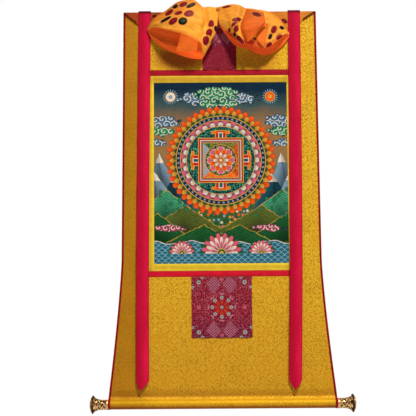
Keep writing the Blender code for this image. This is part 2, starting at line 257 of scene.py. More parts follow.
def cloth(name, places, on_it, thickness, material):
    """A sheet through rows of places. on_it is each one's place on the flat cloth, in metres."""
    count, width = places.shape[:2]
    corners = np.arange(count * width).reshape(count, width)
    faces = np.stack([corners[:-1, :-1], corners[:-1, 1:], corners[1:, 1:], corners[1:, :-1]], -1)
    faces = faces.reshape(-1, 4)
    piece = lay_out(name, places, faces, material)
    layer = piece.data.uv_layers.new(name="UVMap")
    layer.data.foreach_set("uv", on_it.reshape(-1, 2)[faces.reshape(-1)].astype(np.float32).ravel())
    solid = piece.modifiers.new("thickness", "SOLIDIFY")
    solid.thickness, solid.offset = thickness, 0
    bpy.ops.object.modifier_apply(modifier=solid.name)
    bpy.ops.object.shade_smooth_by_angle(angle=math.radians(50))
    return piece


EDGE_TURN = 0.0035  # over how much of its edge a sewn piece turns back into its seams


def panel(name, left, right, top, bottom, step, forward, crown, thickness, material):
    """A flat piece of cloth that hangs with the scroll, with its rows a step apart. Its middle stands
    out by crown, and its edges turn back into the seams."""
    wide = np.linspace(left, right, max(3, round((right - left) / step)) + 1)
    tall = np.linspace(top, bottom, max(3, round((top - bottom) / step)) + 1)
    x, z = np.meshgrid(wide, tall)
    in_x = 1 - np.exp(-np.minimum(x - left, right - x) / EDGE_TURN)
    in_z = 1 - np.exp(-np.minimum(top - z, z - bottom) / EDGE_TURN)
    y = hanging(x, z) - forward - crown * np.minimum(in_x, in_z)
    return cloth(name, np.stack([x, y, z], -1), np.stack([x, z], -1), thickness, material)


CANVAS = (0.448, 0.610)
CANVAS_MIDDLE = -0.5485

canvas, shader, dye = finish("painted_canvas", 0.7, Specular_IOR_Level=0.04)
across, along = on_cloth(dye)
x, z = across, along - 1000 * CANVAS_MIDDLE


def polar(x, z, right, up):
    """How far each place is from a point, and its turn about it."""
    dx, dz = x - right, z - up
    return dx.math("MULTIPLY_ADD", dx, dz * dz).math("SQRT"), dz.math("ARCTAN2", dx)


def ring_of(far, turn, count, inner, outer, fat, start=0.0):
    """Under 0 inside a ring of petals that run from one distance out to another."""
    reach = (outer - inner) / 2
    beside = turn.math("MULTIPLY_ADD", count / math.tau, start + 0.5).math("PINGPONG", 0.5)
    run = far.math("MULTIPLY_ADD", 1 / reach, -(inner + outer) / 2 / reach)
    room = (run * run).math("MULTIPLY_ADD", -1, 1)
    return room.math("SQRT").math("MULTIPLY_ADD", -fat / 2, beside) + room.math("LESS_THAN", 0.02) * 3


def scales(x, z, size):
    """How far out each place is in its own scale, where round scales overlap in rows."""
    laps = []
    for shift in (0, 0.5):
        column = x.cell(size, shift) * size
        row = z.cell(size, shift).math("MULTIPLY_ADD", size, size / 2)
        laps.append(column.math("MULTIPLY_ADD", column, row * row).math("SQRT"))
    return laps[1] + laps[0].math("LESS_THAN", size * 0.5) * (laps[0] - laps[1])


def scatter(x, z, size, randomness):
    """Cells of that size: distance and turn from each one's own middle, and its own random number."""
    place = dye.node("CombineXYZ", values={0: x / size, 1: z / size})
    far = place.node("TexVoronoi", {"voronoi_dimensions": "2D"},
                     {"Vector": place, "Scale": 1, "Randomness": randomness})
    luck = dye.node("SeparateColor", values={0: far.other("Color")})
    away = place.node("VectorMath", {"operation": "SUBTRACT"}, {0: place, 1: far.other("Position")})
    aside = place.node("SeparateXYZ", values={0: away})
    return far, aside.other("Y").math("ARCTAN2", aside), luck


def after(ground, *places):
    """The same places, worked out only once the ground is, so that the renderer holds less at a time."""
    never = ground.node("SeparateColor", values={0: ground}).math("LESS_THAN", -1)
    return [place + never for place in places]


def darker(colour, share):
    """A plain colour scaled to that share of its brightness."""
    return tuple(part * share for part in colour)


NAVY, TEAL, JADE = (0.004, 0.020, 0.042), (0.012, 0.085, 0.12), (0.05, 0.30, 0.15)
MIST, WHITE, PINK = (0.20, 0.32, 0.42), (0.70, 0.62, 0.50), (0.60, 0.11, 0.17)
FLAME, SCARLET, TAN = (0.78, 0.095, 0.008), (0.42, 0.014, 0.008), (0.26, 0.15, 0.06)
LEAF, MOSS, GOLD = (0.012, 0.10, 0.026), (0.09, 0.13, 0.022), (0.60, 0.33, 0.04)

height = grain(dye, x, z, 60).math("MULTIPLY_ADD", 40, z - 20)
ground = dye.node("ValToRGB", {"stops": (
    (0.0, (0.16, 0.12, 0.04)), (0.22, (0.02, 0.07, 0.02)), (0.42, (0.10, 0.13, 0.04)),
    (0.58, TAN), (0.76, (0.28, 0.14, 0.05)), (0.87, (0.04, 0.08, 0.08)), (0.96, NAVY),
)}, {0: height / (CANVAS[1] * 1000) + 0.5})

# blossoms and leaves scattered over the meadow, each blossom five-petalled and in its own colour
far, turn, luck = scatter(x, z, 17, 0.8)
petal = abs((turn * 2.5).math("COSINE")).math("MULTIPLY_ADD", -0.15, far)
hue = luck.node("ValToRGB", {"stops": (
    (0.0, WHITE), (0.2, PINK), (0.38, FLAME), (0.55, MIST), (0.68, TAN), (0.84, GOLD), (0.93, SCARLET),
)}, {0: luck})
hue.socket.node.color_ramp.interpolation = "CONSTANT"
meadow = z.math("LESS_THAN", -70)
leaves = (turn * 3 + luck * 6).math("SINE").under(0.1, 0.2) * far.between(0.26, 0.52)
ground = (leaves * meadow).over(ground, (0.025, 0.17, 0.05))
ground = (petal.under(0.22, 0.02) * meadow).over(ground, (0.008, 0.022, 0.012))
ground = (petal.under(0.15, 0.02) * meadow).over(ground, hue)
ground = (far.under(0.08, 0.02) * meadow).over(ground, GOLD)

# snowy peaks far off, in pairs, and near hills in front of them, each with a pale outline
x, z = after(ground, x, z)
aside = abs(x + (z * 0.021).math("SINE") * 7 - 4)
rough = grain(dye, x, z, 15).math("MULTIPLY_ADD", 16, z - 8)
Hill = namedtuple("Hill", "aside top slope tint ridges")
for hill in (
    Hill(204, 66, 2.3, MIST, 7), Hill(164, 0, 1.9, TEAL, 6), Hill(228, 6, 1.7, MIST, 6),
    Hill(194, -58, 0.75, JADE, 9), Hill(126, -112, 0.62, MOSS, 8), Hill(218, -136, 0.70, LEAF, 9),
    Hill(60, -176, 0.50, LEAF, 8),
):
    rise = abs(aside - hill.aside).math("MULTIPLY_ADD", hill.slope, rough) - hill.top
    tint = rise.under(-50, 48).over(hill.tint, darker(hill.tint, 0.22))
    ridge = rise.math("PINGPONG", hill.ridges / 2).under(hill.ridges * 0.13, 0.5)
    tint = ridge.over(tint, darker(hill.tint, 0.35))
    if hill.slope > 1:
        shaded = (abs(aside - hill.aside) + aside - hill.aside).math("GREATER_THAN", 0.1)
        tint = (shaded * 0.6).over(tint, darker(hill.tint, 0.16))
        snow = (x * 0.55).math("SINE").math("MULTIPLY_ADD", 4, rise).math("GREATER_THAN", -34)
        snow = snow * z.math("GREATER_THAN", hill.top - 34)
        tint = (snow * shaded.math("MULTIPLY_ADD", -0.45, 1)).over(tint, WHITE)
    ground = rise.between(-95, 0).over(ground, tint)
    ground = rise.between(-1.4, 1.0).over(ground, TEAL if hill.slope > 1 else darker(GOLD, 0.7))
far, turn, luck = scatter(x, z * 0.9, 21, 0.9)
crown = grain(dye, x, z, 4, 1).math("MULTIPLY_ADD", -0.24, far)
woods = abs(x).math("GREATER_THAN", 96) * z.between(-150, -52) * luck.math("LESS_THAN", 0.62)
ground = (crown.under(0.18, 0.02) * woods).over(ground, NAVY)
inside = crown.under(0.13, 0.02) * woods
ground = inside.over(ground, (far * 11).math("FRACT").under(0.3, 0.1).over(LEAF, JADE))

# clouds that curl in rings, in pairs above the hills
x, z = after(ground, x, z)
CLOUD_GREEN, CLOUD_BLUE, ROSE = (0.07, 0.50, 0.24), (0.16, 0.36, 0.56), (0.72, 0.16, 0.26)
Cloud = namedtuple("Cloud", "aside up wide tall tint")
far, turn, luck = scatter(x, z * 1.15, 25, 0.75)
curl = turn.math("MULTIPLY_ADD", 0.5 / math.pi, far * 2.1).math("FRACT")
dark, light = curl.under(0.46, 0.34), curl.between(0.03, 0.25)
fringe = far.math("MULTIPLY_ADD", 0.75, -0.25)
aside = abs(x + (z * 0.03).math("SINE") * 9 + 3)
for cloud in (
    Cloud(74, 249, 57, 21, CLOUD_BLUE), Cloud(0, 266, 68, 24, CLOUD_GREEN),
    Cloud(32, 232, 34, 13, CLOUD_GREEN), Cloud(196, 172, 50, 20, CLOUD_BLUE),
    Cloud(204, 138, 46, 15, CLOUD_GREEN), Cloud(212, 100, 34, 12, CLOUD_BLUE), Cloud(168, -188, 50, 12, ROSE),
):
    dx = aside.math("MULTIPLY_ADD", 1 / cloud.wide, -cloud.aside / cloud.wide)
    dz = z.math("MULTIPLY_ADD", 1 / cloud.tall, -cloud.up / cloud.tall)
    puff = dx.math("MULTIPLY_ADD", dx, dz * dz).math("SQRT") + fringe
    ground = puff.under(1.09, 0.02).over(ground, NAVY)
    tint = light.over(dark.over(darker(cloud.tint, 0.22), cloud.tint), WHITE)
    ground = puff.under(1.0, 0.02).over(ground, tint)

# the mandala: rings of petals and beads round a four-gated square, and a lotus in its middle
Ring = namedtuple("Ring", "count inner outer fat start tint line")


def lay_petals(ground, far, turn, *rings):
    """Rings of petals, each with an outline and darker towards its foot."""
    for ring in rings:
        shape = ring_of(far, turn, ring.count, ring.inner, ring.outer, ring.fat, ring.start)
        ground = shape.under(0.06, 0.02).over(ground, ring.line)
        middle, reach = (ring.inner + ring.outer) / 2, (ring.outer - ring.inner) / 2
        tint = far.under(middle, reach).over(ring.tint, darker(ring.tint, 0.35))
        ground = shape.under(-0.02, 0.02).over(ground, tint)
    return ground


def lay_beads(ground, far, turn, count, middle, size, tint):
    """A ring of beads that middle gives the radius of."""
    beside, out = turn.cell(math.tau / count) * (math.tau * middle / count), far - middle
    away = out.math("MULTIPLY_ADD", out, beside * beside)
    return away.under(size * size, 0.8).over(ground, tint)


def lay_discs(ground, far, *discs):
    """Plain discs, one on another, each with its radius and tint."""
    for limit, tint in discs:
        ground = far.under(limit, 0.4).over(ground, tint)
    return ground


MANDALA_UP, MANDALA_SCALE = 40, 1.27
x, z = after(ground, x, z)
far, turn = polar(x, z, 0, MANDALA_UP)
far, x_in, up = far / MANDALA_SCALE, x / MANDALA_SCALE, (z - MANDALA_UP) / MANDALA_SCALE
ground = lay_discs(ground, far, (126, SCARLET))
ground = lay_petals(ground, far, turn, Ring(44, 118, 144, 0.80, 0.0, FLAME, SCARLET),
                    Ring(44, 114, 135, 0.72, 0.5, GOLD, SCARLET), Ring(44, 112, 126, 0.60, 0.0, LEAF, NAVY))
ground = lay_discs(ground, far, (119, GOLD), (117, NAVY))
ground = lay_beads(ground, far, turn, 56, 112.5, 2.8, MIST)
ground = lay_beads(ground, far, turn, 56, 112.5, 1.3, SCARLET)
ground = lay_discs(ground, far, (108, GOLD), (106, TEAL))
ground = lay_petals(ground, far, turn, Ring(28, 88, 107, 0.86, 0.0, PINK, SCARLET),
                    Ring(28, 86, 101, 0.70, 0.5, WHITE, TEAL))
leafy = abs(grain(dye, x, z, 9, 1) - 0.5).under(0.035, 0.015)
ground = lay_discs(ground, far, (91, GOLD), (89.5, leafy.over(NAVY, JADE)))
x_in, up, far, turn, leafy = after(ground, x_in, up, far, turn, leafy)
wide, tall = abs(x_in).math("MINIMUM", abs(up)), abs(x_in).math("MAXIMUM", abs(up))
for gate, low, high, tint in ((15, 50, 80, GOLD), (25, 70, 78, GOLD), (13, 50, 78, SCARLET),
                              (23, 72, 76, FLAME), (6, 50, 74, WHITE), (4, 50, 72, TEAL)):
    ground = (wide.math("LESS_THAN", gate) * tall.between(low, high)).over(ground, tint)
upper = (x_in - up).math("LESS_THAN", 0)
quarters = (x_in + up).math("LESS_THAN", 0).over(upper.over(SCARLET, LEAF), upper.over(FLAME, MIST))
quarters = (leafy * 0.6).over(quarters, GOLD)
ground = lay_discs(ground, tall, (60, GOLD), (58, SCARLET), (54, WHITE), (52, TEAL))
ground = (wide.math("PINGPONG", 2).math("LESS_THAN", 1) * tall.between(48.2, 51)).over(ground, FLAME)
ground = lay_discs(ground, tall, (47, GOLD), (45.5, quarters))
ground = lay_discs(ground, far, (42, GOLD), (40.5, NAVY))
ground = lay_petals(ground, far, turn, Ring(16, 14, 40, 0.80, 0.0, LEAF, GOLD),
                    Ring(8, 8, 37, 0.84, 0.5, PINK, WHITE), Ring(8, 6, 30, 0.74, 0.0, FLAME, GOLD),
                    Ring(8, 4, 20, 0.8, 0.5, WHITE, SCARLET))
ground = lay_discs(ground, far, (9, GOLD), (7.4, SCARLET), (4.6, GOLD), (3, WHITE))

# the sun and the moon in the top corners
x, z = after(ground, x, z)
away, spin = polar(abs(x), z, 168, 256)
sunny = x.math("GREATER_THAN", 0)
ground = lay_petals(ground, away, spin, Ring(18, 12, 26, 0.55, 0.0, MIST, NAVY))
ground = lay_discs(ground, away, (17, GOLD), (15, sunny.over(WHITE, FLAME)), (7, sunny.over(MIST, GOLD)))

# water in scales along the foot, and three lotuses that stand in it
x, z = after(ground, x, z)
shore = (x / 21).math("SINE").math("MULTIPLY_ADD", -5, z + 236) - (x / 9).math("SINE") * 1.5
lap = scales(x, z * 1.3, 22)
sea = (lap / 3.7).math("FRACT").under(0.34, 0.12).over(TEAL, (0.035, 0.19, 0.30))
sea = lap.between(9.6, 11.2).over(sea, (0.22, 0.44, 0.50))
ground = lay_discs(ground, shore, (3.4, NAVY), (2.2, WHITE), (0, sea))
x, z = after(ground, x, z)
beside = abs(x).math("GREATER_THAN", 78)
size = beside.math("MULTIPLY_ADD", -0.38, 1)
away, spin = polar(beside.math("MULTIPLY_ADD", -132, abs(x)), z, 0, -270)
away = away / size + z.math("LESS_THAN", -272) * 1000
ground = lay_petals(ground, away, spin, Ring(18, 12, 74, 0.72, 0.5, LEAF, NAVY),
                    Ring(16, 12, 66, 0.78, 0.0, PINK, SCARLET), Ring(16, 10, 54, 0.74, 0.5, WHITE, PINK),
                    Ring(14, 8, 38, 0.74, 0.0, PINK, WHITE))
ground = lay_discs(ground, away, (15, (away * 0.5).math("SINE").under(0, 0.3).over(GOLD, LEAF)))

# brush marks and dust over all of it, on a canvas weave
strokes = grain(dye, x * 0.6, z, 5, 3) * 0.6 + grain(dye, x, z, 40, 3) * 0.4
ground = faces_front(dye).over((0.34, 0.25, 0.15), ground)  # the back is bare canvas
feed(shader, strokes.shade(ground, 0.55, 1.25))
raise_threads(shader, threads(across, along, 0.9) * 0.5 + strokes * 0.5, 0.25)

painting = panel("painted_cloth", -CANVAS[0] / 2, CANVAS[0] / 2, CANVAS_MIDDLE + CANVAS[1] / 2,
                 CANVAS_MIDDLE - CANVAS[1] / 2, step=0.006, forward=0.0, crown=0.0004, thickness=0.0012,
                 material=canvas)
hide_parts("painting")


# The gold strips: four lengths of narrow gold satin, woven with two bright edges and a dotted middle,
# stitched round the canvas.

GOLD_STRIP, SATIN_THICK, SATIN_CROWN = 0.0235, 0.0012, 0.0009
Strip = namedtuple("Strip", "name left right top bottom upright")


def strip_frame(kind, inner_wide, inner_tall, width, middle):
    """The four strips round an opening: the side ones run past the others' ends."""
    half, tall = inner_wide / 2, inner_tall / 2
    return (
        Strip(kind + "_top", -half, half, middle + tall + width, middle + tall, False),
        Strip(kind + "_bottom", -half, half, middle - tall, middle - tall - width, False),
        Strip(kind + "_left", -half - width, -half, middle + tall + width, middle - tall - width, True),
        Strip(kind + "_right", half, half + width, middle + tall + width, middle - tall - width, True),
    )


def lay_strips(strips, forward, material):
    """Sews the strips on, each with its weave running along it."""
    for strip in strips:
        piece = panel(strip.name.replace("strip", "band"), strip.left, strip.right, strip.top, strip.bottom,
                      step=0.0035, forward=forward, crown=SATIN_CROWN, thickness=SATIN_THICK,
                      material=material)
        centre = ((strip.left + strip.right) / 2, (strip.top + strip.bottom) / 2)
        for loop in piece.data.uv_layers[0].data:
            from_middle = (loop.uv[0] - centre[0], loop.uv[1] - centre[1])
            loop.uv = from_middle if strip.upright else (from_middle[1], from_middle[0])
        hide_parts(strip.name)


def painted_swag_shadow(dye, down, soft):
    """1 on the front above a height, where the swags' shadow is painted on."""
    height = dye.node("SeparateXYZ", values={0: dye.node("TexCoord", out="Object")}, out="Z")
    return (height * -1000).under(down, soft) * faces_front(dye)


satin, shader, dye = finish("gold_satin", 0.45, Specular_IOR_Level=0.05, Metallic=0.22)
across, along = on_cloth(dye)
edge = abs(across).between(7.2, 9.6)
dots = along.cell(6.5) * 6.5
dots = (dots * dots + across * across * 1.3).under(3.2, 1.6)
check = abs(along.cell(3.25)).under(0.25, 0.1) * abs(across).between(3.4, 5.6)
gold = edge.over((0.68, 0.48, 0.030), (0.76, 0.60, 0.04))
gold = (dots * 0.75).over(gold, (0.40, 0.17, 0.015))
gold = (check * 0.5).over(gold, (0.45, 0.22, 0.02))
# the swags' shadow is painted darker across the top strip
gold = (painted_swag_shadow(dye, 246, 14) * 0.5).over(gold, (0.38, 0.17, 0.015))
wear = grain(dye, across, along, 26)
feed(shader, wear.shade(gold, 0.78, 1.22))
raise_threads(shader, threads(across, along, 0.8) * 0.4 + dots * -0.4 + 0.4, 0.25)
gold_strips = strip_frame("gold_strip", *CANVAS, GOLD_STRIP, CANVAS_MIDDLE)
lay_strips(gold_strips, 0.0004, satin)


# The crimson strips: the outer frame of four lengths in plain ribbed satin, sewn to the gold strips
# inside it and to the brocade outside.

CRIMSON_STRIP = 0.020
FRAME_WIDE, FRAME_TALL = CANVAS[0] + 2 * GOLD_STRIP, CANVAS[1] + 2 * GOLD_STRIP
RED_GLOSS = {"Specular_IOR_Level": 0.3, "Specular_Tint": (0.7, 0.02, 0.05, 1)}

crimson, shader, dye = finish("crimson_satin", 0.42, **RED_GLOSS)
across, along = on_cloth(dye)
# the satin's folds: raised in the bump, and lighter and darker in the colour as a painted sheen
folds = grain(dye, across, along * 0.25, 9, 3)
red = folds.over((0.40, 0.006, 0.016), (0.62, 0.012, 0.034))
# a painted line of shade along both edges, at the seams
red = abs(across).between(8.8, 10.4).over(red, (0.30, 0.004, 0.010))
# the swags' shadow is painted darker across the top strip
red = (painted_swag_shadow(dye, 226, 12) * 0.62).over(red, (0.17, 0.004, 0.010))
feed(shader, grain(dye, across, along, 30).shade(red, 0.8, 1.2))
raise_threads(shader, (across * (math.pi / 0.7)).math("SINE") * 0.3 + folds, 0.35)
crimson_strips = strip_frame("crimson_strip", FRAME_WIDE, FRAME_TALL, CRIMSON_STRIP, CANVAS_MIDDLE)
lay_strips(crimson_strips, 0.0003, crimson)


# The gold brocade: a top panel, two side panels and a flared bottom panel whose end is turned round
# the rod as a sleeve and hemmed behind. Gold on gold, with roundels in a half-drop repeat.

FRAME_HALF = FRAME_WIDE / 2 + CRIMSON_STRIP
FRAME_TOP = CANVAS_MIDDLE + FRAME_TALL / 2 + CRIMSON_STRIP
FRAME_BOTTOM = CANVAS_MIDDLE - FRAME_TALL / 2 - CRIMSON_STRIP
ROUNDEL, REPEAT = 43.0, 63.0  # millimetres across, and from one to the next

brocade, shader, dye = finish("gold_brocade", 0.50, Specular_IOR_Level=0.05, Metallic=0.22)
across, along = on_cloth(dye)
wander = (grain(dye, across, along, 17, 3) - 0.5) * 9
warp, weft = across + wander, along - wander
rounds, fields = [], []
for shift in (0.0, 0.5):
    far, turn = polar(warp.cell(REPEAT, shift) * REPEAT, weft.cell(REPEAT, shift) * REPEAT, 0, 0)
    rim = abs(far - ROUNDEL * 0.45).under(ROUNDEL * 0.05, 0.8)
    flower = (far - ((turn * 4).math("COSINE") * 3.2 + 10)).under(0, 0.8) - far.under(3, 0.7)
    rounds.append(rim.math("MAXIMUM", flower))
    fields.append(far.under(ROUNDEL * 0.54, 1.5))
rounds, field = rounds[0].math("MAXIMUM", rounds[1]), fields[0].math("MAXIMUM", fields[1])
scroll = abs(grain(dye, across, along, 13, 2) - 0.5).under(0.045, 0.02)
figure = (rounds * 0.7).math("MAXIMUM", scroll * (1 - field * 0.5))
worn = grain(dye, across, along, 75, 3)
flecks = grain(dye, across, along, 4.2, 4)
shown = worn.under(0.66, 0.2)  # the figure is rubbed away in places
gold = (figure * shown).over((0.51, 0.270, 0.011), (0.78, 0.490, 0.034))
gold = (flecks.under(0.43, 0.07) * 0.55).over(gold, (0.38, 0.150, 0.007))
where = dye.node("SeparateXYZ", values={0: dye.node("TexCoord", out="Object")})
front = faces_front(dye)
height = where.other("Z") * 1000
below = height.under(-1262, 22)  # past the ribbon's point the painted shade on the left wing fades out more slowly
# the left wing is painted darker and more orange, as shade
left_wing_shade = ((1 - below) * (where * 1000).under(-250, 8) + below * (where * 1000).under(-238, 80)) * front
# painted shade, darker towards the foot
foot = height.under(-1050, 250)
gold = (left_wing_shade * 0.75).math("MAXIMUM", foot * 0.36).over(gold, (0.41, 0.160, 0.007))
for middle, up, wide, tall, share, tint in (
    (-136, -158, 108, 52, 0.85, (0.27, 0.052, 0.013)), (128, -168, 86, 46, 0.5, (0.40, 0.130, 0.014)),
):  # painted shadows under the swags, tinted with the orange light that the silk throws back
    away, _ = polar(where * (1000 / wide), height * (1 / tall), middle / wide, up / tall)
    gold = (away.under(0.75, 0.35) * front * share).over(gold, tint)
# painted shade in the trough above the rod and on the sleeve's underside, and a painted highlight band across
# the sleeve
rod_trough_shade = abs(height + 1284).under(18, 9) * 0.18
gold = rod_trough_shade.math("MAXIMUM", height.under(-1316, 6) * 0.9).over(gold, (0.24, 0.060, 0.003))
gold = (abs(height + 1302).under(9, 4) * 0.6).over(gold, (0.52, 0.285, 0.003))
feed(shader, (worn * 0.65 + flecks * 0.35 - left_wing_shade * 0.18).shade(gold, 0.66, 1.34))
raise_threads(shader, figure * 0.5 + threads(across, along, 0.8) * 0.3 + flecks * 0.4, 0.35)
feed(shader, figure * -0.12 + 0.56, "Roughness")

BROCADE_THICK = 0.0014
top_panel = panel("top_panel", -FRAME_HALF, FRAME_HALF, 0, FRAME_TOP, step=0.006, forward=0.0, crown=0.0003,
                  thickness=BROCADE_THICK, material=brocade)
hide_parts("brocade_top")

TOP_HALF, STRAIGHT_HALF, HEM_HALF = 0.326, 0.3315, 0.373
STRAIGHT_END, SLEEVE_START, FLARE_POWER = -0.840, -1.288, 1.28
ROD_Y, ROD_Z, SLEEVE_RADIUS = 0.0012, -1.3115, 0.0150
SEAM_PULL, SEAM_SOFT = 0.0042, 0.015  # how far the seam above the rod draws the cloth back, and how softly


def half_width(z):
    """Half the scroll's width: nearly straight, then flaring to the rod."""
    straight = TOP_HALF + (STRAIGHT_HALF - TOP_HALF) * z / STRAIGHT_END
    down = np.clip((STRAIGHT_END - z) / (STRAIGHT_END - SLEEVE_START), 0, 1)
    flared = STRAIGHT_HALF + (HEM_HALF - STRAIGHT_HALF) * down**FLARE_POWER
    return np.where(z > STRAIGHT_END, straight, flared)


def run_along(line):
    """How far along a line of points each of them lies."""
    return np.r_[0, np.cumsum(np.linalg.norm(np.diff(line, axis=0), axis=1))]


def side_edge(heights):
    """The scroll's right edge at each height, before the cloth's own hang."""
    return [(half_width(z), SEAM_PULL * np.exp(-(((z - SLEEVE_START) / SEAM_SOFT) ** 2)), z) for z in heights]


for name, side in (("left", -1), ("right", 1)):
    z, out = np.meshgrid(np.linspace(0, FRAME_BOTTOM, 150), np.linspace(0, 1, 14), indexing="ij")
    x = side * (FRAME_HALF + out * (half_width(z) - FRAME_HALF))
    y = hanging(x, z) + 0.0004 * np.exp(-out / 0.05)  # its inner edge turns back into the seam
    wing = cloth(f"{name}_panel", np.stack([x, y, z], -1), np.stack([x, z], -1), BROCADE_THICK, brocade)
    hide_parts("brocade_" + name)

# down the panel, into the seam above the rod, round the rod, and up behind as the hem
ROWS_DOWN, ROWS_ROUND = 84, 44
path = side_edge(np.linspace(FRAME_BOTTOM, SLEEVE_START, ROWS_DOWN))
turns = np.radians(np.linspace(22, 335, ROWS_ROUND))
path += [(HEM_HALF, ROD_Y - SLEEVE_RADIUS * math.sin(t), ROD_Z + SLEEVE_RADIUS * math.cos(t)) for t in turns]
path += [(HEM_HALF - 0.006, 0.0068, SLEEVE_START + 0.0005), (HEM_HALF - 0.008, 0.0062, SLEEVE_START + 0.006),
         (HEM_HALF - 0.008, 0.0048, SLEEVE_START + 0.012)]
path = np.array(path, float)
share = np.linspace(-1, 1, 141)
x = path[:, :1] * share
z = np.repeat(path[:, 2:3], share.size, 1)
y = path[:, 1:2] + hanging(x, z)
pucker = np.sin(x * 190) * np.sin(x * 71 + 1) * np.exp(-np.abs(z - SLEEVE_START + 0.004) / 0.012)
y = y - 0.0007 * pucker
down = FRAME_BOTTOM - run_along(path[:, 1:])[:, None] + 0 * x
foot_panel = cloth("bottom_panel", np.stack([x, y, z], -1), np.stack([x, down], -1), BROCADE_THICK, brocade)
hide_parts("brocade_bottom")


# The doors: two patches of maroon brocade, a narrow one sewn on the top panel and a square one on the
# bottom panel. They are cut from one pattern: a medallion in a ring of pale blossoms, more blossoms
# towards the corners, and fields of lattice above and below.

Door = namedtuple("Door", "name node wide tall middle top design")
DOORS = (
    Door("top_door", "door_patch_top", 0.114, 0.1992, -0.002, -0.0003, -0.010),
    Door("bottom_door", "door_patch_bottom", 0.200, 0.200, -0.001, -0.8976, -0.9976),
)
maroon, shader, dye = finish("maroon_brocade", 0.48, Specular_IOR_Level=0.06)
across, along = on_cloth(dye)
CRIMSON, PLUM, PEARL = (0.36, 0.006, 0.018), (0.10, 0.004, 0.028), (0.36, 0.32, 0.32)
EMBER, LILAC = (0.46, 0.050, 0.022), (0.56, 0.19, 0.28)
far, turn = polar(across, along, 0, 0)
flecks = grain(dye, across, along, 3.2, 2)
scroll = abs(grain(dye, across, along, 8, 1) - 0.5).under(0.03, 0.012)
speckle = grain(dye, across, along, 4.6, 2)
weave = flecks.under(0.50, 0.05).over(CRIMSON, (0.12, 0.003, 0.010))
weave = (speckle.under(0.40, 0.03) * 0.36).over(weave, LILAC)
weave = (1 - speckle).under(0.43, 0.03).over(weave, (0.050, 0.002, 0.010))
weave = (along * -0.01 - 0.2).math("MAXIMUM", 0).math("MINIMUM", 0.75).over(weave, PLUM)
weave = (scroll * 0.30).over(weave, LILAC)
medal = far - ((turn * 8).math("COSINE") * 3.5 + 36)
weave = medal.under(1.2, 0.6).over(weave, (0.20, 0.004, 0.012))
weave = medal.under(-1.5, 0.8).over(weave, (0.34, 0.008, 0.018))
weave = (ring_of(far, turn, 8, 7, 31, 0.7, 0.5).under(0, 0.05) * 0.85).over(weave, EMBER)
weave = (medal.under(0, 1) * speckle.under(0.46, 0.03) * 0.5).over(weave, (0.10, 0.008, 0.012))
spokes = (turn * 8).math("COSINE")
curls = abs(far - 50 + spokes * 4 + speckle * 6).under(2.2, 0.7) * (1 - spokes).under(0.8, 0.2)
weave = (curls * 0.8).over(weave, LILAC)
lattice = abs((across + along).cell(8.6)).under(0.13, 0.05)
lattice = lattice.math("MAXIMUM", abs((across - along).cell(8.6)).under(0.13, 0.05))
fields = abs(abs(across) - 27) + abs(abs(along) - 75) * 0.8 + speckle * 8
fields = fields.under(29, 2) * abs(across).between(5, 60)
weave = (fields * 0.85).over(weave, (0.11, 0.004, 0.020))
weave = (lattice * fields * 0.85).over(weave, LILAC)
weave = (along.under(-108, 8) * 0.6).over(weave, (0.24, 0.005, 0.013))


def blossoms(far, turn, size):
    """Under 0 inside a five-petalled blossom."""
    return far - (abs((turn * 2.5).math("COSINE")) * 0.35 + 0.65) * size


part = turn.cell(math.tau / 8, 0.5) * (math.tau / 8)  # eight of them stand in a ring
away, spin = polar(far * part.math("COSINE"), far * part.math("SINE"), 31.5, 0)
spots = [(away, spin, 7.0), (far, turn, 6.0)]
for right, up, size in ((76, 82, 8.0), (64, 99, 6.6), (96, 66, 5.5)):
    spots.append((*polar(abs(across), abs(along), right, up), size))
for away, spin, size in spots:
    shape = blossoms(away, spin, size)
    weave = shape.under(1.5, 0.5).over(weave, (0.08, 0.004, 0.012))
    weave = shape.under(0, 0.5).over(weave, PEARL)
    weave = away.under(size * 0.32, 0.4).over(weave, (0.06, 0.05, 0.05))
for right, up in ((76, 0), (0, 92)):
    away, spin = polar(abs(across), abs(along), right, up)
    weave = away.between(4.0, 6.6).over(weave, (0.46, 0.09, 0.12))
    weave = away.under(2.2, 0.5).over(weave, (0.60, 0.16, 0.18))
feed(shader, (flecks * 0.7 + grain(dye, across, along, 40) * 0.3).shade(weave, 0.45, 1.30))
raise_threads(shader, scroll * 0.3 + flecks * 0.4 + threads(across, along, 0.8) * 0.3, 0.3)



def near_edge(z, bottom):
    """1 at a door's lower edge, fading over the first centimetre or two above it."""
    return np.exp(-(z - bottom) / 0.012)


def edge_wave(x, z, bottom):
    """How far a door waves out from the cloth behind it, most of all at its lower edge."""
    return 0.0006 * (1 + np.sin(x * 95 + 1)) * near_edge(z, bottom)


for door in DOORS:
    left, bottom = door.middle - door.wide / 2, door.top - door.tall
    piece = panel(door.name, left, left + door.wide, door.top, bottom, step=0.004, forward=0.0016,
                  crown=0.0004, thickness=0.0010, material=maroon)
    for vertex in piece.data.vertices:
        x, z = vertex.co.x, vertex.co.z
        vertex.co.y -= edge_wave(x, z, bottom)
        vertex.co.z += 0.0008 * math.sin(x * 150) * near_edge(z, bottom)
    for loop in piece.data.uv_layers[0].data:
        loop.uv = (loop.uv[0] - door.middle, loop.uv[1] - door.design)
    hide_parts(door.node)


# The side bindings: a strip of dark maroon satin folded over each edge and stitched through, down the
# sides and round the ends of the sleeve.

binding, shader, dye = finish("maroon_binding", 0.42, **RED_GLOSS)
across, along = on_cloth(dye)
wear = grain(dye, across, along * 0.3, 7, 3)
feed(shader, wear.over((0.13, 0.002, 0.003), (0.30, 0.006, 0.008)))
raise_threads(shader, wear * 0.6 + threads(across, along, 0.7) * 0.4, 0.3)

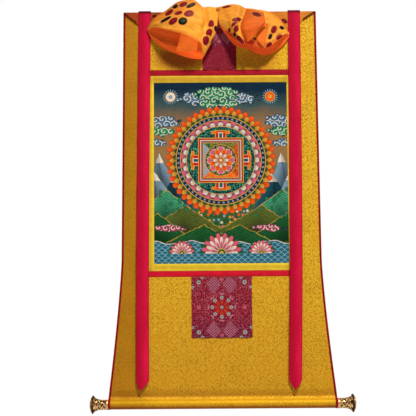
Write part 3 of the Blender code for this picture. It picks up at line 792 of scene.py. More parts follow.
BINDING_LEG, BINDING_OUT, BINDING_DEEP, BINDING_THICK = 0.0060, 0.0011, 0.0015, 0.0007
SIDE_ROWS, SLEEVE_ROWS = 260, 34  # down the side, and then round the sleeve until just behind it
side_path = side_edge(np.linspace(0, SLEEVE_START, SIDE_ROWS))
side_path = np.vstack([side_path, path[ROWS_DOWN:ROWS_DOWN + SLEEVE_ROWS]])
section = [
    (-BINDING_LEG, BINDING_DEEP * 0.72), (-BINDING_LEG * 0.6, BINDING_DEEP), (-0.0006, BINDING_DEEP),
    (BINDING_OUT * 0.8, BINDING_DEEP * 0.6), (BINDING_OUT, 0), (BINDING_OUT * 0.8, -BINDING_DEEP * 0.6),
    (-0.0006, -BINDING_DEEP * 0.8), (-BINDING_LEG * 0.7, -BINDING_DEEP * 0.8),
]
girth = run_along(section)
binding_seams = []
for name, side in (("left", -1), ("right", 1)):
    edge_y = side_path[:, 1] + hanging(side_path[:, 0], side_path[:, 2])
    edge = np.stack([side_path[:, 0], edge_y, side_path[:, 2]], -1)
    way = np.gradient(edge, axis=0)
    way[:, 0] = 0
    way /= np.linalg.norm(way, axis=1)[:, None]
    inner_y = side_path[:, 1] + hanging(side_path[:, 0] - 0.008, side_path[:, 2])
    outward = np.stack([np.full(len(edge), 0.008), edge_y - inner_y, np.zeros(len(edge))], -1)
    outward /= np.linalg.norm(outward, axis=1)[:, None]
    front = np.cross(way, outward)
    on_sleeve = np.clip((np.arange(len(edge)) - SIDE_ROWS) / 3, 0, 1)[:, None]
    rows = [edge + outward * out + front * (up if up > 0 else up * (1 - on_sleeve)) for out, up in section]
    places = np.stack(rows, 1)
    places[:, :, 0] *= side
    seam = edge - outward * 0.0042 + front * (BINDING_DEEP + 0.0003)
    binding_seams.append(seam[:SIDE_ROWS] * (side, 1, 1))
    on_it = np.stack(np.broadcast_arrays(girth[None, :], run_along(edge)[:, None]), -1)
    bound = cloth(f"{name}_binding", places, on_it, BINDING_THICK, binding)
    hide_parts("binding_" + name)


# The ribbons: two crimson satin ones that come over the top edge and hang loose in front, each cut to
# a rounded point. They lift a little off the cloth and curl along their edges.

RIBBON_WIDTH, RIBBON_POINT, RIBBON_THICK = 0.042, 0.030, 0.0009
POINT_SHAPE = ((0.2, 0.90), (0.5, 0.63), (0.8, 0.36), (1.0, 0.06))
RibbonRow = namedtuple("RibbonRow", "z left right stand")
OVER_EDGE = (  # (z, how far it stands out), from its end behind, over the top edge and down in front
    (-0.060, -0.0021), (-0.012, -0.0022), (-0.002, -0.0025), (0.0030, -0.0012), (0.0042, 0.0014),
    (0.0028, 0.0040), (-0.004, 0.0052), (-0.016, 0.0050), (-0.045, 0.0049),
)
RIBBON_ROWS = (
    *(RibbonRow(z, -0.2546, 0.2523, stand) for z, stand in OVER_EDGE),
    RibbonRow(-0.110, -0.2555, 0.2520, 0.0049), RibbonRow(-0.330, -0.2580, 0.2510, 0.0062),
    RibbonRow(-0.600, -0.2605, 0.2492, 0.0085), RibbonRow(-0.860, -0.2616, 0.2462, 0.0105),
    RibbonRow(-1.080, -0.2618, 0.2412, 0.0120), RibbonRow(-1.234, -0.2616, 0.2378, 0.0130),
)
ribbon_satin, shader, dye = finish("crimson_ribbon", 0.38, **RED_GLOSS)
across, along = on_cloth(dye)
slub = grain(dye, across, along * 0.12, 3.5, 3)
# the satin's folds: raised in the bump, and lighter and darker in the colour as a painted sheen
folds = grain(dye, across * 1.2, along * 0.35, 32, 2)
red = folds.over((0.37, 0.005, 0.024), (0.66, 0.011, 0.064))
# the left half is painted darker, as shade
red = (across.under(1, 14) * 0.6).over(red, (0.30, 0.003, 0.014))
red = abs(across).between(19.0, 20.4).over(red, (0.26, 0.002, 0.010))
red = abs(along).under(77, 2).over(red, (0.05, 0.001, 0.004))  # painted shade, nearly black, where it turns over the top edge and lies behind it
feed(shader, slub.shade(red, 0.80, 1.20))
raise_threads(shader, slub * 0.4 + folds * 0.8 + threads(across, along, 0.7) * 0.15, 0.45)


def through(points, steps):
    """A smooth line through the points, with that many steps from each to the next."""
    points = np.asarray(points, float)
    ends = np.concatenate([points[:1] * 2 - points[1:2], points, points[-1:] * 2 - points[-2:-1]])
    t = (np.arange(steps) / steps).reshape(-1, *[1] * (points.ndim - 1))
    parts = []
    for a, b, c, d in zip(ends, ends[1:], ends[2:], ends[3:]):
        bend, twist = 2 * a - 5 * b + 4 * c - d, 3 * b - a - 3 * c + d
        parts.append((2 * b + (c - a) * t + bend * t**2 + twist * t**3) / 2)
    return np.concatenate([*parts, points[-1:]])


for name, side, lean in (("left", -1, -0.0068), ("right", 1, -0.0005)):
    line = through([(getattr(row, name), -row.stand, row.z) for row in RIBBON_ROWS], 14)
    widths = np.full(len(line), RIBBON_WIDTH)
    tip = line[-1]
    for share, wide in through(POINT_SHAPE, 4):
        line = np.vstack([line, tip + np.array([lean, 0, -RIBBON_POINT]) * share])
        widths = np.append(widths, RIBBON_WIDTH * wide)
    aside = np.linspace(-0.5, 0.5, 15)
    x = line[:, :1] + widths[:, None] * aside
    z = np.repeat(line[:, 2:], aside.size, 1)
    loose = np.clip((-z - 0.10) / 0.4, 0, 1) * (line[:, 1:2] < 0)
    y = line[:, 1:2] + hanging(np.clip(x, -0.27, 0.27), z) * 0.4
    y = y + loose * (0.0022 * (2 * aside) ** 2 - 0.0012 * np.sin(6.5 * z + 2 * side + 5 * aside))
    y = y + loose * 0.0010 * np.sin(31 * z + side) * np.abs(2 * aside)
    length = run_along(line)
    on_it = np.stack(np.broadcast_arrays(widths[:, None] * aside, -length[:, None]), -1)
    ribbon = cloth(f"{name}_ribbon", np.stack([x, y, z], -1), on_it, RIBBON_THICK, ribbon_satin)
    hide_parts("ribbon_" + name)


# The rod: a plain turned length of softwood in the hem. It keeps the frame's own solid, and the knobs
# cover its ends.

wood, shader, dye = finish("rod_wood", 0.6)
place = dye.node("TexCoord", out="Object")
rings = dye.node("TexWave", {"wave_type": "BANDS", "bands_direction": "Z"},
                 {"Vector": place, "Scale": 90, "Distortion": 6, "Detail": 3, "Detail Scale": 0.4})
feed(shader, rings.over((0.20, 0.11, 0.05), (0.34, 0.20, 0.10)))
raise_threads(shader, rings * 0.5, 0.2)
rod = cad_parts["rod"]
for slot in rod.material_slots:
    slot.material = wood


# The knobs: turned brass trumpets with a rolled rim and a domed end, their necks chased with scrolls
# and leaves that hold dark patina. Each is pushed over an end of the rod.

FINIAL_START = HEM_HALF + 0.0018
FINIAL_PROFILE = (  # (along the rod from the sleeve, radius), in millimetres
    (20.5, 0.01), (20.5, 14.1), (0, 14.1), (0, 16.2), (0.8, 17.0), (2.6, 17.2), (3.4, 16.5), (6, 16.6),
    (14, 16.4), (22, 16.6), (30, 17.4), (36, 18.8), (41, 20.9), (45, 23.8), (47.2, 26.2), (48.2, 28.4),
    (49.4, 29.0), (51.4, 29.1), (52.4, 28.2), (52.8, 25.4), (54.2, 25.0), (56.6, 21.5), (58.6, 15.0),
    (59.6, 7.5), (59.9, 0.01),
)
brass, shader, dye = finish("aged_brass", 0.36, Metallic=0.55, Specular_IOR_Level=0.1,
                            Specular_Tint=(0.12, 0.06, 0.03, 1))
relief = dye.node("Attribute", {"attribute_name": "relief"}, out="Fac")
place = dye.node("TexCoord", out="Object")
spots = dye.node("TexNoise", values={"Vector": place, "Scale": 380, "Detail": 3})
stain = dye.node("TexNoise", values={"Vector": place, "Scale": 60, "Detail": 3})
# dark where the chasing is sunk and holds patina, and on the rolled rim as painted shade
metal = relief.under(0.60, 0.3).over((0.86, 0.57, 0.25), (0.018, 0.008, 0.004))
metal = (spots.under(0.46, 0.05) * 0.75).over(metal, (0.080, 0.040, 0.022))
metal = (stain.under(0.46, 0.08) * 0.4).over(metal, (0.46, 0.23, 0.10))
feed(shader, metal)
feed(shader, relief.under(0.45, 0.3) * 0.3 + spots * 0.2 + 0.24, "Roughness")
raise_threads(shader, spots, 0.25)

SPIN_STEPS, CHASE_DEEP = 144, 0.55
body = np.array(FINIAL_PROFILE)
fine = np.concatenate([body[:4], through(body[4:19], 6), through(body[19:], 4)])
angle = np.arange(SPIN_STEPS) * math.tau / SPIN_STEPS
along_rod, radius = fine[:, :1], fine[:, 1:]
on_neck = np.clip((along_rod - 4) / 3, 0, 1) * np.clip((48 - along_rod) / 3, 0, 1)
on_neck[:4] = 0  # the bore stays plain
leaf = np.cos(6 * angle + 1.6 * np.sin(along_rod / 3.1)) * np.sin(along_rod / 2.6 + np.sin(3 * angle))
chase = np.clip(0.5 + 1.3 * leaf + 0.35 * np.cos(18 * angle) * np.cos(along_rod / 1.5), 0, 1)
raised = 1 - on_neck + on_neck * chase
# the rolled rim is painted dark, as shade along its outline
knob_rim_shade = np.clip((along_rod - 46) / 1.5, 0, 1) * np.clip((53.4 - along_rod) / 0.8, 0, 1)
wide = radius - CHASE_DEEP * (1 - raised)
corners = np.arange(wide.size).reshape(wide.shape)
beside = np.roll(corners, -1, 1)
faces = np.stack([corners[:-1], beside[:-1], beside[1:], corners[1:]], -1).reshape(-1, 4)


def mark(piece, attribute, values):
    """Gives a piece's corners one number each, for its material to read."""
    made = piece.data.attributes.new(attribute, "FLOAT", "POINT")
    made.data.foreach_set("value", np.resize(values, len(piece.data.vertices)).astype(np.float32))


def face_outward(smooth, weld=0):
    """Turns the active piece's faces outward, and smooths its edges up to that many degrees."""
    bpy.ops.object.mode_set(mode="EDIT")
    bpy.ops.mesh.select_all(action="SELECT")
    if weld:
        bpy.ops.mesh.remove_doubles(threshold=weld)
    bpy.ops.mesh.normals_make_consistent(inside=False)
    bpy.ops.object.mode_set(mode="OBJECT")
    bpy.ops.object.shade_smooth_by_angle(angle=math.radians(smooth))


for name, side in (("left", -1), ("right", 1)):
    x = side * (FINIAL_START + along_rod / 1000) + 0 * wide
    places = np.stack([x, ROD_Y + wide * np.sin(angle) / 1000, ROD_Z + wide * np.cos(angle) / 1000], -1)
    knob = lay_out(f"{name}_knob", places, faces, brass)
    mark(knob, "relief", raised * (1 - knob_rim_shade))
    face_outward(38, weld=0.00003)
    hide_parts("finial_" + name)


# The veil: one width of orange silk printed with flowers. It lies flat over the top edge, and its length
# is gathered up to the middle and knotted there, so that it stands out in two hollow swags.

SILK = 0.0009
VEIL_Y = -0.0032
Gore = namedtuple("Gore", "lip mid crown back")  # each (x, forward, z), in millimetres
LEFT_SWAG = (  # from the outer tip to the knot
    Gore((-245, 11.5, -64), (-244, 13, -61), (-243, 12.5, -57), (-243, 9, -70)),
    Gore((-227, 30, -63), (-230, 31, -53), (-232, 19, -37), (-232, 9, -90)),
    Gore((-203, 50, -69), (-208, 48, -46), (-210, 23, -19), (-203, 8, -119)),
    Gore((-173, 64, -81), (-179, 60, -47), (-179, 27, -1), (-176, 8, -135)),
    Gore((-147, 72, -90), (-149, 68, -43), (-146, 31, 23), (-149, 8, -145)),
    Gore((-122, 75, -97), (-117, 72, -41), (-117, 33, 31), (-121, 9, -156)),
    Gore((-99, 74, -108), (-87, 70, -47), (-86, 33, 31), (-98, 10, -162)),
    Gore((-76, 68, -119), (-61, 62, -61), (-66, 31, 17), (-80, 12, -165)),
    Gore((-64, 57, -125), (-48, 40, -66), (-55, 25, 10), (-69, 14, -166)),
    Gore((-60, 44, -144), (-29, 50, -74), (-34, 29, 10), (-63, 16, -167)),
    Gore((-58, 26, -164), (-14, 28, -78), (-5, 18, 8), (-60, 19, -168)),
)
RIGHT_SWAG = (  # from the knot to the outer tip
    Gore((23, 24, -80), (-2, 27, -42), (-5, 18, 11), (29, 10, -94)),
    Gore((43, 44, -102), (31, 48, -46), (35, 28, 17), (49, 8, -116)),
    Gore((67, 56, -125), (55, 62, -64), (65, 32, 13), (71, 8, -125)),
    Gore((83, 52, -125), (68, 51, -72), (85, 28, 4), (91, 8, -130)),
    Gore((98, 50, -126), (108, 50, -70), (111, 28, 1), (108, 8, -137)),
    Gore((113, 48, -132), (130, 49, -68), (130, 27, -2), (125, 8, -146)),
    Gore((137, 45, -138), (150, 46, -66), (148, 25, -4), (145, 8, -152)),
    Gore((163, 41, -134), (168, 42, -74), (168, 23, -9), (166, 8, -151)),
    Gore((182, 38, -119), (181, 39, -78), (187, 22, -22), (186, 8, -141)),
    Gore((200, 33, -104), (199, 34, -77), (205, 20, -37), (203, 8, -128)),
    Gore((218, 25, -87), (217, 26, -75), (219, 17, -62), (221, 9, -109)),
    Gore((235, 11.5, -82), (234, 13, -79), (233, 12.5, -76), (234, 9, -90)),
)
LEFT_INNER_PLEAT = (
    ((-128, 7, -92), (-136, 7, -104), (-146, 7, -130)), ((-129, 30, -76), (-136, 30, -110), (-145, 26, -140)),
    ((-105, 40, -78), (-108, 38, -112), (-112, 32, -146)), ((-71, 50, -84), (-74, 46, -116), (-78, 38, -143)),
)
RIGHT_OUTER_PLEAT = (
    ((85, 26, 1), (68, 50, -70), (88, 50, -124)), ((94, 36, -3), (83, 64, -70), (91, 63, -124)),
    ((118, 40, -8), (116, 70, -69), (104, 68, -111)), ((138, 40, -13), (140, 69, -63), (126, 67, -90)),
    ((147, 38, -16), (150, 58, -46), (151, 62, -66)),
)
RIGHT_INNER_PLEAT = (
    ((114, 45, -62), (112, 45, -79), (111, 45, -94)), ((131, 55, -52), (131, 56, -86), (128, 55, -118)),
    ((163, 54, -62), (156, 55, -99), (145, 53, -137)),
)
VeilRow = namedtuple("VeilRow", "x edge lift")
VEIL_ROWS = (
    VeilRow(-323, -6, 0), VeilRow(-275, -44, 0), VeilRow(-246, -66, 0), VeilRow(-120, -36, 0),
    VeilRow(-60, -25, 1), VeilRow(-28, -18, 5), VeilRow(-6, -12, 9), VeilRow(16, -18, 5),
    VeilRow(48, -25, 1), VeilRow(110, -42, 0), VeilRow(238, -78, 0), VeilRow(275, -36, 0),
    VeilRow(323, -3, 0),
)
# creases as (across, along) from and to, as shares of the swag, half their width, and how deep: under
# 0 is a trough and over 0 a ridge
Crease = namedtuple("Crease", "start end wide deep")
LEFT_CREASES = (
    Crease((0.98, 0.48), (0.42, 0.10), 0.045, 2.6), Crease((0.98, 0.44), (0.55, 0.05), 0.035, -2.2),
    Crease((0.98, 0.50), (0.30, 0.30), 0.050, -1.8), Crease((0.72, 0.46), (0.66, 0.02), 0.030, 2.2),
    Crease((0.97, 0.40), (0.90, 0.04), 0.030, -2.0), Crease((0.06, 0.10), (0.34, 0.24), 0.040, 1.6),
    Crease((0.98, 0.30), (0.97, 0.02), 0.020, 1.5), Crease((0.25, 0.02), (0.62, 0.06), 0.030, 1.4),
)
RIGHT_CREASES = (
    Crease((0.02, 0.46), (0.22, 0.04), 0.035, 2.4), Crease((0.03, 0.42), (0.13, 0.02), 0.030, -2.0),
    Crease((0.02, 0.48), (0.30, 0.24), 0.040, -1.8), Crease((0.30, 0.46), (0.96, 0.30), 0.050, 2.0),
    Crease((0.50, 0.20), (0.94, 0.12), 0.040, -1.8), Crease((0.60, 0.06), (0.92, 0.06), 0.030, 1.5),
    Crease((0.02, 0.30), (0.20, 0.10), 0.025, 1.4), Crease((0.62, 0.42), (0.80, 0.05), 0.030, 1.4),
)
FLAP_CREASES = (Crease((0.0, 0.7), (0.9, 0.5), 0.08, 1.6),)

silk, shader, dye = finish("printed_silk", 0.44, Specular_IOR_Level=0.12, Specular_Tint=(1.0, 0.55, 0.25, 1),
                           Subsurface_Weight=0.3, Subsurface_Radius=(1.0, 0.35, 0.10), Subsurface_Scale=0.003)
across, along = on_cloth(dye)
flower = dye.node("Attribute", {"attribute_name": "petal"}, out="Fac") * 1000
foliage = dye.node("Attribute", {"attribute_name": "leaf"}, out="Fac") * 1000
# inner is the silk's reverse face; crown is painted shade over the tops that face the lamp; rim is the darker
# band along the lips, and painted shade on the flat layer; shade is painted shade; glow is painted light
# through the silk
TONES = ("inner", "crown", "rim", "shade", "glow")
inner, crown, rim, shade, glow = (dye.node("Attribute", {"attribute_name": tone}, out="Fac")
                                  for tone in TONES)
soft = grain(dye, across, along, 45, 2)
body = soft.over((0.60, 0.205, 0.016), (0.76, 0.39, 0.050))
body = inner.over(body, (0.80, 0.13, 0.018))
body = rim.over(body, (0.46, 0.030, 0.012))
# the crown is painted darker, as shade, and its petals too
body = crown.over(body, (0.38, 0.100, 0.008))
petal = crown.over((0.19, 0.004, 0.015), (0.13, 0.003, 0.010))
body = flower.between(-0.2, 1.1).over(body, (0.46, 0.15, 0.03))
body = flower.math("LESS_THAN", -0.2).over(body, (0.035, 0.001, 0.002))
body = flower.math("LESS_THAN", -1.3).over(body, petal)
body = flower.between(-4.6, -3.8).over(body, (0.050, 0.001, 0.003))
body = foliage.between(-0.2, 1.1).over(body, (0.44, 0.16, 0.04))
body = foliage.math("LESS_THAN", -0.2).over(body, (0.004, 0.004, 0.003))
body = foliage.math("LESS_THAN", -5.2).over(body, (0.004, 0.045, 0.010))
fine = grain(dye, across, along, 5, 3)
drawn_streaks_and_sheen = grain(dye, across * 0.22, along, 9, 2)  # streaks where the silk is drawn towards the knot: creases in the bump, painted satin sheen in the colour
lit = (fine + soft) * 0.12 + drawn_streaks_and_sheen * 0.66 + 0.55 - shade
body = lit.shade(body, 0.0, 1.0)
feed(shader, body)
feed(shader, glow.shade(body, 0.0, 0.26), "Emission Color")  # painted glow, for light that comes through the silk
shader.inputs["Emission Strength"].default_value = 1
crumple = abs(grain(dye, across, along, 30, 2) - 0.5)
raise_threads(shader, crumple * 2.2 + drawn_streaks_and_sheen * 1.1 + fine * 0.25 + threads(across, along, 0.6) * 0.05, 1.1)


# how much of each tone a piece shows, from its first edge (0) to its last (1), and then how much of
# that at its left end and at its right
Tone = namedtuple("Tone", "name along values left right", defaults=(1, 1))


def tone_silk(piece, tones, u, v):
    """Marks a piece with its tones, from its corners' places across (u) and along (v) it."""
    values = {}
    for tone in tones:
        sideways = np.interp(u, (0.4, 0.7), (tone.left, tone.right))
        values[tone.name] = np.interp(v, tone.along, tone.values) * sideways
    for name in TONES:
        mark(piece, name, values.get(name, 0 * v))


def silk_cloth(name, lines, steps_across, steps_along, creases, tones):
    """A sheet through lines of points, with soft creases, marked with its tones and with no print yet."""
    lines = np.array(lines, float)
    grid = through(lines, steps_across).transpose(1, 0, 2)
    grid = through(grid, steps_along).transpose(1, 0, 2) / 1000
    grid[:, :, 1] *= -1
    u, v = np.meshgrid(np.linspace(0, 1, grid.shape[0]), np.linspace(0, 1, grid.shape[1]), indexing="ij")
    normal = np.cross(np.gradient(grid, axis=0), np.gradient(grid, axis=1))
    normal /= np.maximum(np.linalg.norm(normal, axis=-1, keepdims=True), 1e-9)
    normal *= -np.sign(normal[grid.shape[0] // 2, grid.shape[1] // 6, 1])
    push = np.zeros_like(u)
    for crease in creases:
        a, b = np.array(crease.start), np.array(crease.end)
        line = b - a
        share = np.clip(((u - a[0]) * line[0] + (v - a[1]) * line[1]) / line.dot(line), 0, 1)
        away = np.hypot(u - a[0] - share * line[0], v - a[1] - share * line[1])
        fade = np.sin(np.pi * np.clip(share * 0.9 + 0.05, 0, 1)) ** 0.6
        push += crease.deep * fade * np.exp(-((away / crease.wide) ** 2))
    edge = np.clip(np.minimum(u, 1 - u) / 0.06, 0, 1)
    grid = grid + normal * (push * edge)[..., None] / 1000
    step_u = np.linalg.norm(np.diff(grid, axis=0), axis=-1).mean(1)
    step_v = np.linalg.norm(np.diff(grid, axis=1), axis=-1).mean(0)
    on_it = np.stack(np.meshgrid(np.r_[0, np.cumsum(step_u)], np.r_[0, np.cumsum(step_v)], indexing="ij"), -1)
    piece = cloth(name, grid, on_it, SILK, silk)
    tone_silk(piece, tones, u, v)
    return piece


def swag_line(gore):
    """From the front lip up, over the crown, and down behind to the back lip."""
    behind = (gore.mid[0], gore.back[1], gore.mid[2])
    return (gore.lip, gore.mid, gore.crown, behind, gore.back)


LEFT_TONES = (
    Tone("inner", (0.50, 0.62), (0, 1)),
    Tone("crown", (0.10, 0.45, 0.60, 0.66), (0, 1, 1, 0), 1, 0.35),
    Tone("rim", (0.02, 0.05, 0.97, 1.0), (0.4, 0, 0, 0.3)),
    Tone("glow", (0.60, 0.93, 0.96), (0.7, 0.7, 1.5), 0.8, 1.9),
    Tone("shade", (0.86, 0.93, 0.945), (0, 0.4, 0)),
)
RIGHT_TONES = (
    Tone("inner", (0.50, 0.62), (0, 1)),
    Tone("crown", (0.10, 0.45, 0.60, 0.66), (0, 1, 1, 0), 0.55, 0.35),
    Tone("rim", (0.05, 0.09, 0.86, 0.95), (1, 0, 0, 0.5), 1, 0.4),
    Tone("glow", (0.60, 0.70), (0.8, 1.2)),
)
LEFT_PLEAT_TONES = (Tone("inner", (0, 1), (0.8, 0.8)), Tone("glow", (0, 1), (1.9, 1.9)))
FLAP_TONES = (
    Tone("inner", (0, 1), (1, 1)), Tone("crown", (0, 1), (0.5, 0)),
    Tone("shade", (0, 0.8), (0.26, 0.12)), Tone("glow", (0, 1), (0.1, 0.3)),
)
TUCK_TONES = (
    Tone("inner", (0, 1), (0.8, 0.85)), Tone("crown", (0, 1), (0.4, 0)),
    Tone("shade", (0, 1), (0.1, 0)), Tone("glow", (0, 1), (0.3, 0.4)),
)
KNOT_TONES = (Tone("inner", (0, 1), (0.4, 0.4)), Tone("crown", (0, 1), (0.8, 0.8)))
# the flat layer is painted darker, most of all at its left corner, as shade
FLAT_TONES = (
    Tone("crown", (0, 1), (1, 1), 0.5, 0.3), Tone("rim", (0, 1), (1, 1), 1, 0.2),
    Tone("shade", (0, 1), (1, 1), 0.30, 0.0),
)
silk_pieces = [
    silk_cloth("left_swag", [swag_line(gore) for gore in LEFT_SWAG], 12, 26, LEFT_CREASES, LEFT_TONES),
    silk_cloth("right_swag", [swag_line(gore) for gore in RIGHT_SWAG], 11, 26, RIGHT_CREASES, RIGHT_TONES),
    silk_cloth("left_pleat", LEFT_INNER_PLEAT, 12, 12, (), LEFT_PLEAT_TONES),
    silk_cloth("right_flap", RIGHT_OUTER_PLEAT, 14, 20, FLAP_CREASES, FLAP_TONES),
    silk_cloth("right_tuck", RIGHT_INNER_PLEAT, 14, 16, (), TUCK_TONES),
]
line = through([(row.x, row.edge, row.lift) for row in VEIL_ROWS], 12)
share = np.linspace(0, 1, 14)
x = np.repeat(line[:, :1], share.size, 1) / 1000
z = line[:, 1:2] * share / 1000
y = VEIL_Y - line[:, 2:3] / 1000 + 0 * x - 0.0006 * np.sin(x * 60) * share
veil = cloth("silk_veil", np.stack([x, y, z], -1), np.stack([x, z], -1), SILK, silk)
tone_silk(veil, FLAT_TONES, (x + 0.325) / 0.65, 0 * x)
silk_pieces.append(veil)

# the print: each motif's place in the photograph's frame, its length and width in millimetres and its
# turn. The camera's own rays find where it lies on the silk.
Motif = namedtuple("Motif", "across down long wide turn")
PRINT = {
    "petal": (
        Motif(183.3, 4.3, 23, 16, 30), Motif(169.1, 12.5, 25, 17, 35), Motif(178.5, 12.9, 21, 13, 10),
        Motif(188.9, 13.5, 26, 21, 25), Motif(173.1, 20.9, 25, 17, 35), Motif(211.2, 23.3, 20, 14, 75),
        Motif(208.7, 31.9, 18, 16, 60), Motif(206.2, 40.8, 23, 18, 85), Motif(237.5, 19.2, 26, 11, 15),
        Motif(234.2, 23.6, 18, 9, 40), Motif(236.4, 28.4, 19, 12, 75), Motif(229.3, 30.4, 13, 8, 60),
        Motif(240.6, 39.9, 27, 11, -48), Motif(256.8, 14.4, 26, 15, -30), Motif(254.9, 38.7, 9, 7, 0),
        Motif(274.0, 29.4, 22, 14, 60), Motif(279.7, 37.2, 21, 13, 20), Motif(269.0, 45.3, 19, 12, 45),
        Motif(226.5, 6.8, 24, 8, 0), Motif(155.0, 16.5, 17, 12, -10), Motif(284.5, 21.0, 18, 12, -35),
    ),
    "leaf": (
        Motif(175.2, 6.4, 17, 11, 45), Motif(191.0, 5.3, 31, 9, 38), Motif(165.9, 19.4, 33, 9, 25),
        Motif(182.8, 20.9, 22, 17, 100), Motif(216.1, 28.9, 16, 12, 85), Motif(212.0, 41.0, 18, 5, 75),
        Motif(234.7, 34.4, 13, 8, 80), Motif(282.1, 27.6, 15, 8, 8), Motif(270.2, 36.6, 17, 7, 60),
    ),
}
FRAME_PIXELS = 416
PRINT_SCALE = {"petal": (1.3, 1.3), "leaf": (1.25, 1.8)}  # along and across a motif
PRINT_TAPER = {"petal": 1.0, "leaf": 1.25}
PRINT_DEEP = 0.012  # a motif doesn't go through to a fold that lies further behind
bpy.context.view_layer.update()
eye = camera.matrix_world.translation
trees = [BVHTree.FromObject(piece, bpy.context.evaluated_depsgraph_get()) for piece in silk_pieces]
marks = [{kind: np.ones(len(piece.data.vertices)) for kind in PRINT} for piece in silk_pieces]
focal = camera.data.lens / camera.data.sensor_width * FRAME_PIXELS
for kind, motif in ((kind, motif) for kind in PRINT for motif in PRINT[kind]):
    ray = Vector((motif.across - FRAME_PIXELS / 2, FRAME_PIXELS / 2 - motif.down, -focal)).normalized()
    ray = camera.matrix_world.to_3x3() @ ray
    hits = [(tree.ray_cast(eye, ray), i) for i, tree in enumerate(trees)]
    hits = [(hit[3], hit[0], hit[1], i) for hit, i in hits if hit[0] is not None]
    if not hits:
        continue
    _, place, normal, i = min(hits, key=lambda hit: hit[0])
    turn = math.radians(motif.turn)
    sideways = Vector((math.cos(turn), 0, math.sin(turn)))
    long_way = (sideways - normal * sideways.dot(normal)).normalized()
    wide_way = normal.cross(long_way)
    points = np.empty(len(silk_pieces[i].data.vertices) * 3, np.float32)
    silk_pieces[i].data.vertices.foreach_get("co", points)
    away = points.reshape(-1, 3) - np.array(place)
    more_long, more_wide = PRINT_SCALE[kind]
    a = away @ np.array(long_way) / (motif.long * more_long / 2000)
    b = away @ np.array(wide_way) / (motif.wide * more_wide / 2000)
    deep = np.abs(away @ np.array(normal))
    reach = (np.hypot(a, b) ** PRINT_TAPER[kind] - 1) * min(motif.long, motif.wide) / 2000
    marks[i][kind] = np.minimum(marks[i][kind], np.where(deep < PRINT_DEEP, reach, 1))
for piece, prints in zip(silk_pieces, marks):
    for kind, values in prints.items():
        mark(piece, kind, values)

# the knot: the silk is wound once round its own gathers, in small pleats that fan out of its middle
turn, share = np.meshgrid(np.linspace(0, math.tau, 73), np.linspace(-1, 1, 25))
pleats = 1 + 0.13 * np.cos(9 * turn + 1.4 * share) * np.abs(share) ** 0.5
pleats -= 0.12 * np.exp(-((share / 0.22) ** 2))  # its waist is drawn in
round_it = 0.0106 * np.sqrt(1 - 0.80 * share**2) * pleats
x = -0.005 + 0.0098 * share + 0.0012 * np.sin(2 * turn)
places = np.stack([x, -0.0150 - round_it * np.cos(turn), 0.001 + round_it * np.sin(turn)], -1)
knot = cloth("knot", places, np.stack([share * 0.012, turn * 0.01], -1), SILK, silk)
tone_silk(knot, KNOT_TONES, 0 * x, 0 * x)
for kind in PRINT:
    mark(knot, kind, np.ones(1))

bpy.ops.object.select_all(action="DESELECT")
for piece in (*silk_pieces, knot):
    piece.select_set(True)
bpy.context.view_layer.objects.active = veil
bpy.ops.object.join()
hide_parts("veil")


# The edge tapes: dark red tape, folded over the veil's free lower edges and sewn on. One runs in from
# each of its two corners.

tape_cloth, shader, dye = finish("veil_tape", 0.5, Specular_IOR_Level=0.05)
across, along = on_cloth(dye)
wear = grain(dye, across, along, 8, 2)
dark = across.under(2.4, 0.6).over((0.08, 0.002, 0.003), (0.30, 0.006, 0.010))
feed(shader, wear.shade(dark, 0.8, 1.25))
TAPE, TAPE_THICK, TAPE_Y = 0.005, 0.0005, -0.0048
for name, corner, under in (("left", 0, 1), ("right", -1, -2)):
    a = np.array([VEIL_ROWS[corner].x, VEIL_ROWS[corner].edge]) / 1000
    b = np.array([VEIL_ROWS[under].x, VEIL_ROWS[under].edge]) / 1000
    b = a + (b - a) * 0.84
    share = np.linspace(0, 1, 30)[:, None]
    rise = np.linspace(0, 1, 7)
    x = a[0] + (b[0] - a[0]) * share + 0 * rise
    z = a[1] + (b[1] - a[1]) * share + TAPE * rise * (0.7 + 0.3 * share)
    y = TAPE_Y - 0.0003 * np.sin(np.pi * rise) + 0 * x
    front = np.stack([x, y, z], -1)
    back = front[:, :1] + np.array([0, 0.0008, -0.0004])
    rows = np.concatenate([back + np.array([0, 0, 0.002]), back, front], 1)
    on_it = np.stack([np.broadcast_to(np.linspace(0, TAPE + 0.003, rows.shape[1]), rows.shape[:2]),
                      np.broadcast_to(share * 0.05, rows.shape[:2])], -1)
    tape = cloth(f"{name}_veil_tape", rows, on_it, TAPE_THICK, tape_cloth)
    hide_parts("veil_tape_" + name)


# The stitching: even running stitches hold down the seams round the strips and the doors, above the sleeve
# and along the bindings, in thread of each piece's own colour. Each stitch is a short twist of thread that
# dips into the cloth at both ends.

STITCH, PITCH, SIDES = 0.0030, 0.0052, 4  # a stitch's length, from one to the next, and how many sides
STITCH_SHAPE = (
    (-0.5, 0.13, -0.26), (-0.36, 0.21, -0.02), (0, 0.25, 0.06), (0.36, 0.21, -0.02), (0.5, 0.13, -0.26),
)


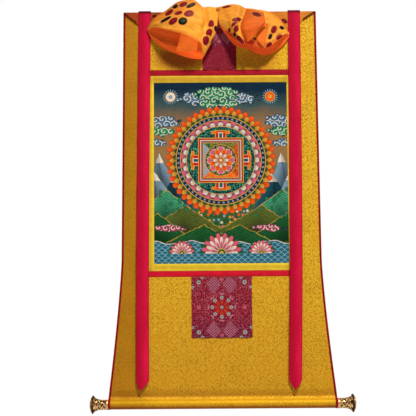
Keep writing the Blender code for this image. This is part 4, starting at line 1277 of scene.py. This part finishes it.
def sew(name, lines, tint):
    """Stitches along lines of points, in one mesh. STITCH_SHAPE gives, along one stitch, the thread's
    radius and how far out it lies, both in millimetres."""
    mids, ways = [], []
    for line in lines:
        run = run_along(line)
        middle = np.arange(PITCH * 0.7, run[-1] - PITCH * 0.4, PITCH)
        middle = middle + 0.0004 * np.sin(np.arange(middle.size) * 2.4)
        before, beyond = ([np.interp(middle + d, run, line[:, i]) for i in range(3)] for d in (-0.001, 0.001))
        mids.append((np.array(before) + beyond).T / 2)
        ways.append((np.array(beyond) - before).T)
    mids, ways = np.concatenate(mids), np.concatenate(ways)
    lean = 0.10 * np.sin(np.arange(len(mids)) * 1.7)[:, None]
    ways += np.cross(ways, (0, -1, 0)) * lean
    ways /= np.linalg.norm(ways, axis=1)[:, None]
    front = np.array((0, -1, 0)) - ways * -ways[:, 1:2]
    front /= np.linalg.norm(front, axis=1)[:, None]
    aside = np.cross(ways, front)
    places = np.empty((len(mids), len(STITCH_SHAPE), SIDES, 3))
    for i, (share, radius, out) in enumerate(STITCH_SHAPE):
        for j in range(SIDES):
            angle = (j + 0.5 + 0.35 * i) * math.tau / SIDES
            places[:, i, j] = (mids + ways * share * STITCH + aside * radius / 1000 * math.cos(angle)
                               + front * (out + radius * math.sin(angle)) / 1000)
    corners = np.arange(len(STITCH_SHAPE) * SIDES).reshape(-1, SIDES)
    beside = np.roll(corners, -1, 1)
    faces = np.stack([corners[:-1], beside[:-1], beside[1:], corners[1:]], -1).reshape(-1, 4)
    faces = np.vstack([faces, corners[0][::-1], corners[-1]])
    faces = (faces[None] + corners.size * np.arange(len(mids))[:, None, None]).reshape(-1, 4)
    thread, shader, dye = finish(name + "_thread", 0.55, Specular_IOR_Level=0.2)
    place = dye.node("TexCoord", out="Object")
    twist = dye.node("TexNoise", values={"Vector": place, "Scale": 900, "Detail": 2})
    feed(shader, twist.over(darker(tint, 0.6), darker(tint, 1.3)))
    raise_threads(shader, twist, 0.1)
    lay_out(name, places, faces, thread)
    face_outward(60)


def round_frame(half_wide, half_tall, middle, surface):
    """The four sides of an upright rectangle, as lines that lie on a surface(x, z)."""
    sides, corners = [], ((-1, 1), (1, 1), (1, -1), (-1, -1), (-1, 1))
    for (x0, z0), (x1, z1) in zip(corners, corners[1:]):
        x = middle[0] + half_wide * np.linspace(x0, x1, 200)
        z = middle[1] + half_tall * np.linspace(z0, z1, 200)
        sides.append(np.stack([x, surface(x, z), z], -1))
    return sides


STRIP_FRONT, DOOR_FRONT = 0.0015, 0.0023  # how far in front of the hanging cloth their stitches lie


def strip_face(x, z):
    """Where the front of the satin strips lies."""
    return hanging(x, z) - STRIP_FRONT


def door_face(bottom):
    """Where the front of the door with that lower edge lies, as a surface(x, z)."""
    return lambda x, z: hanging(x, z) - DOOR_FRONT - edge_wave(x, z, bottom)


INSET = 0.0026  # from a piece's edge to its stitches
SEAM_POINTS = 300
middle = (0, CANVAS_MIDDLE)
sew("gold_seams", [
    *round_frame(CANVAS[0] / 2 + INSET, CANVAS[1] / 2 + INSET, middle, strip_face),
    *round_frame(FRAME_WIDE / 2 - INSET, FRAME_TALL / 2 - INSET, middle, strip_face),
], (0.42, 0.24, 0.03))
sew("crimson_seams", [
    *round_frame(FRAME_WIDE / 2 + INSET, FRAME_TALL / 2 + INSET, middle, strip_face),
    *round_frame(FRAME_HALF - INSET, FRAME_TALL / 2 + CRIMSON_STRIP - INSET, middle, strip_face),
], (0.30, 0.008, 0.018))
sew("door_seams", [side for door in DOORS for side in round_frame(
    door.wide / 2 - INSET, door.tall / 2 - INSET, (door.middle, door.top - door.tall / 2),
    door_face(door.top - door.tall))], (0.16, 0.010, 0.020))
across_sleeve = np.linspace(-HEM_HALF + 0.009, HEM_HALF - 0.009, SEAM_POINTS)
sleeve_seam = np.stack([across_sleeve, SEAM_PULL + hanging(across_sleeve, SLEEVE_START) - 0.0012,
                        np.full(SEAM_POINTS, SLEEVE_START + 0.0005)], -1)
sew("sleeve_seam", [sleeve_seam], (0.30, 0.13, 0.015))
sew("binding_seams", binding_seams, (0.14, 0.004, 0.006))
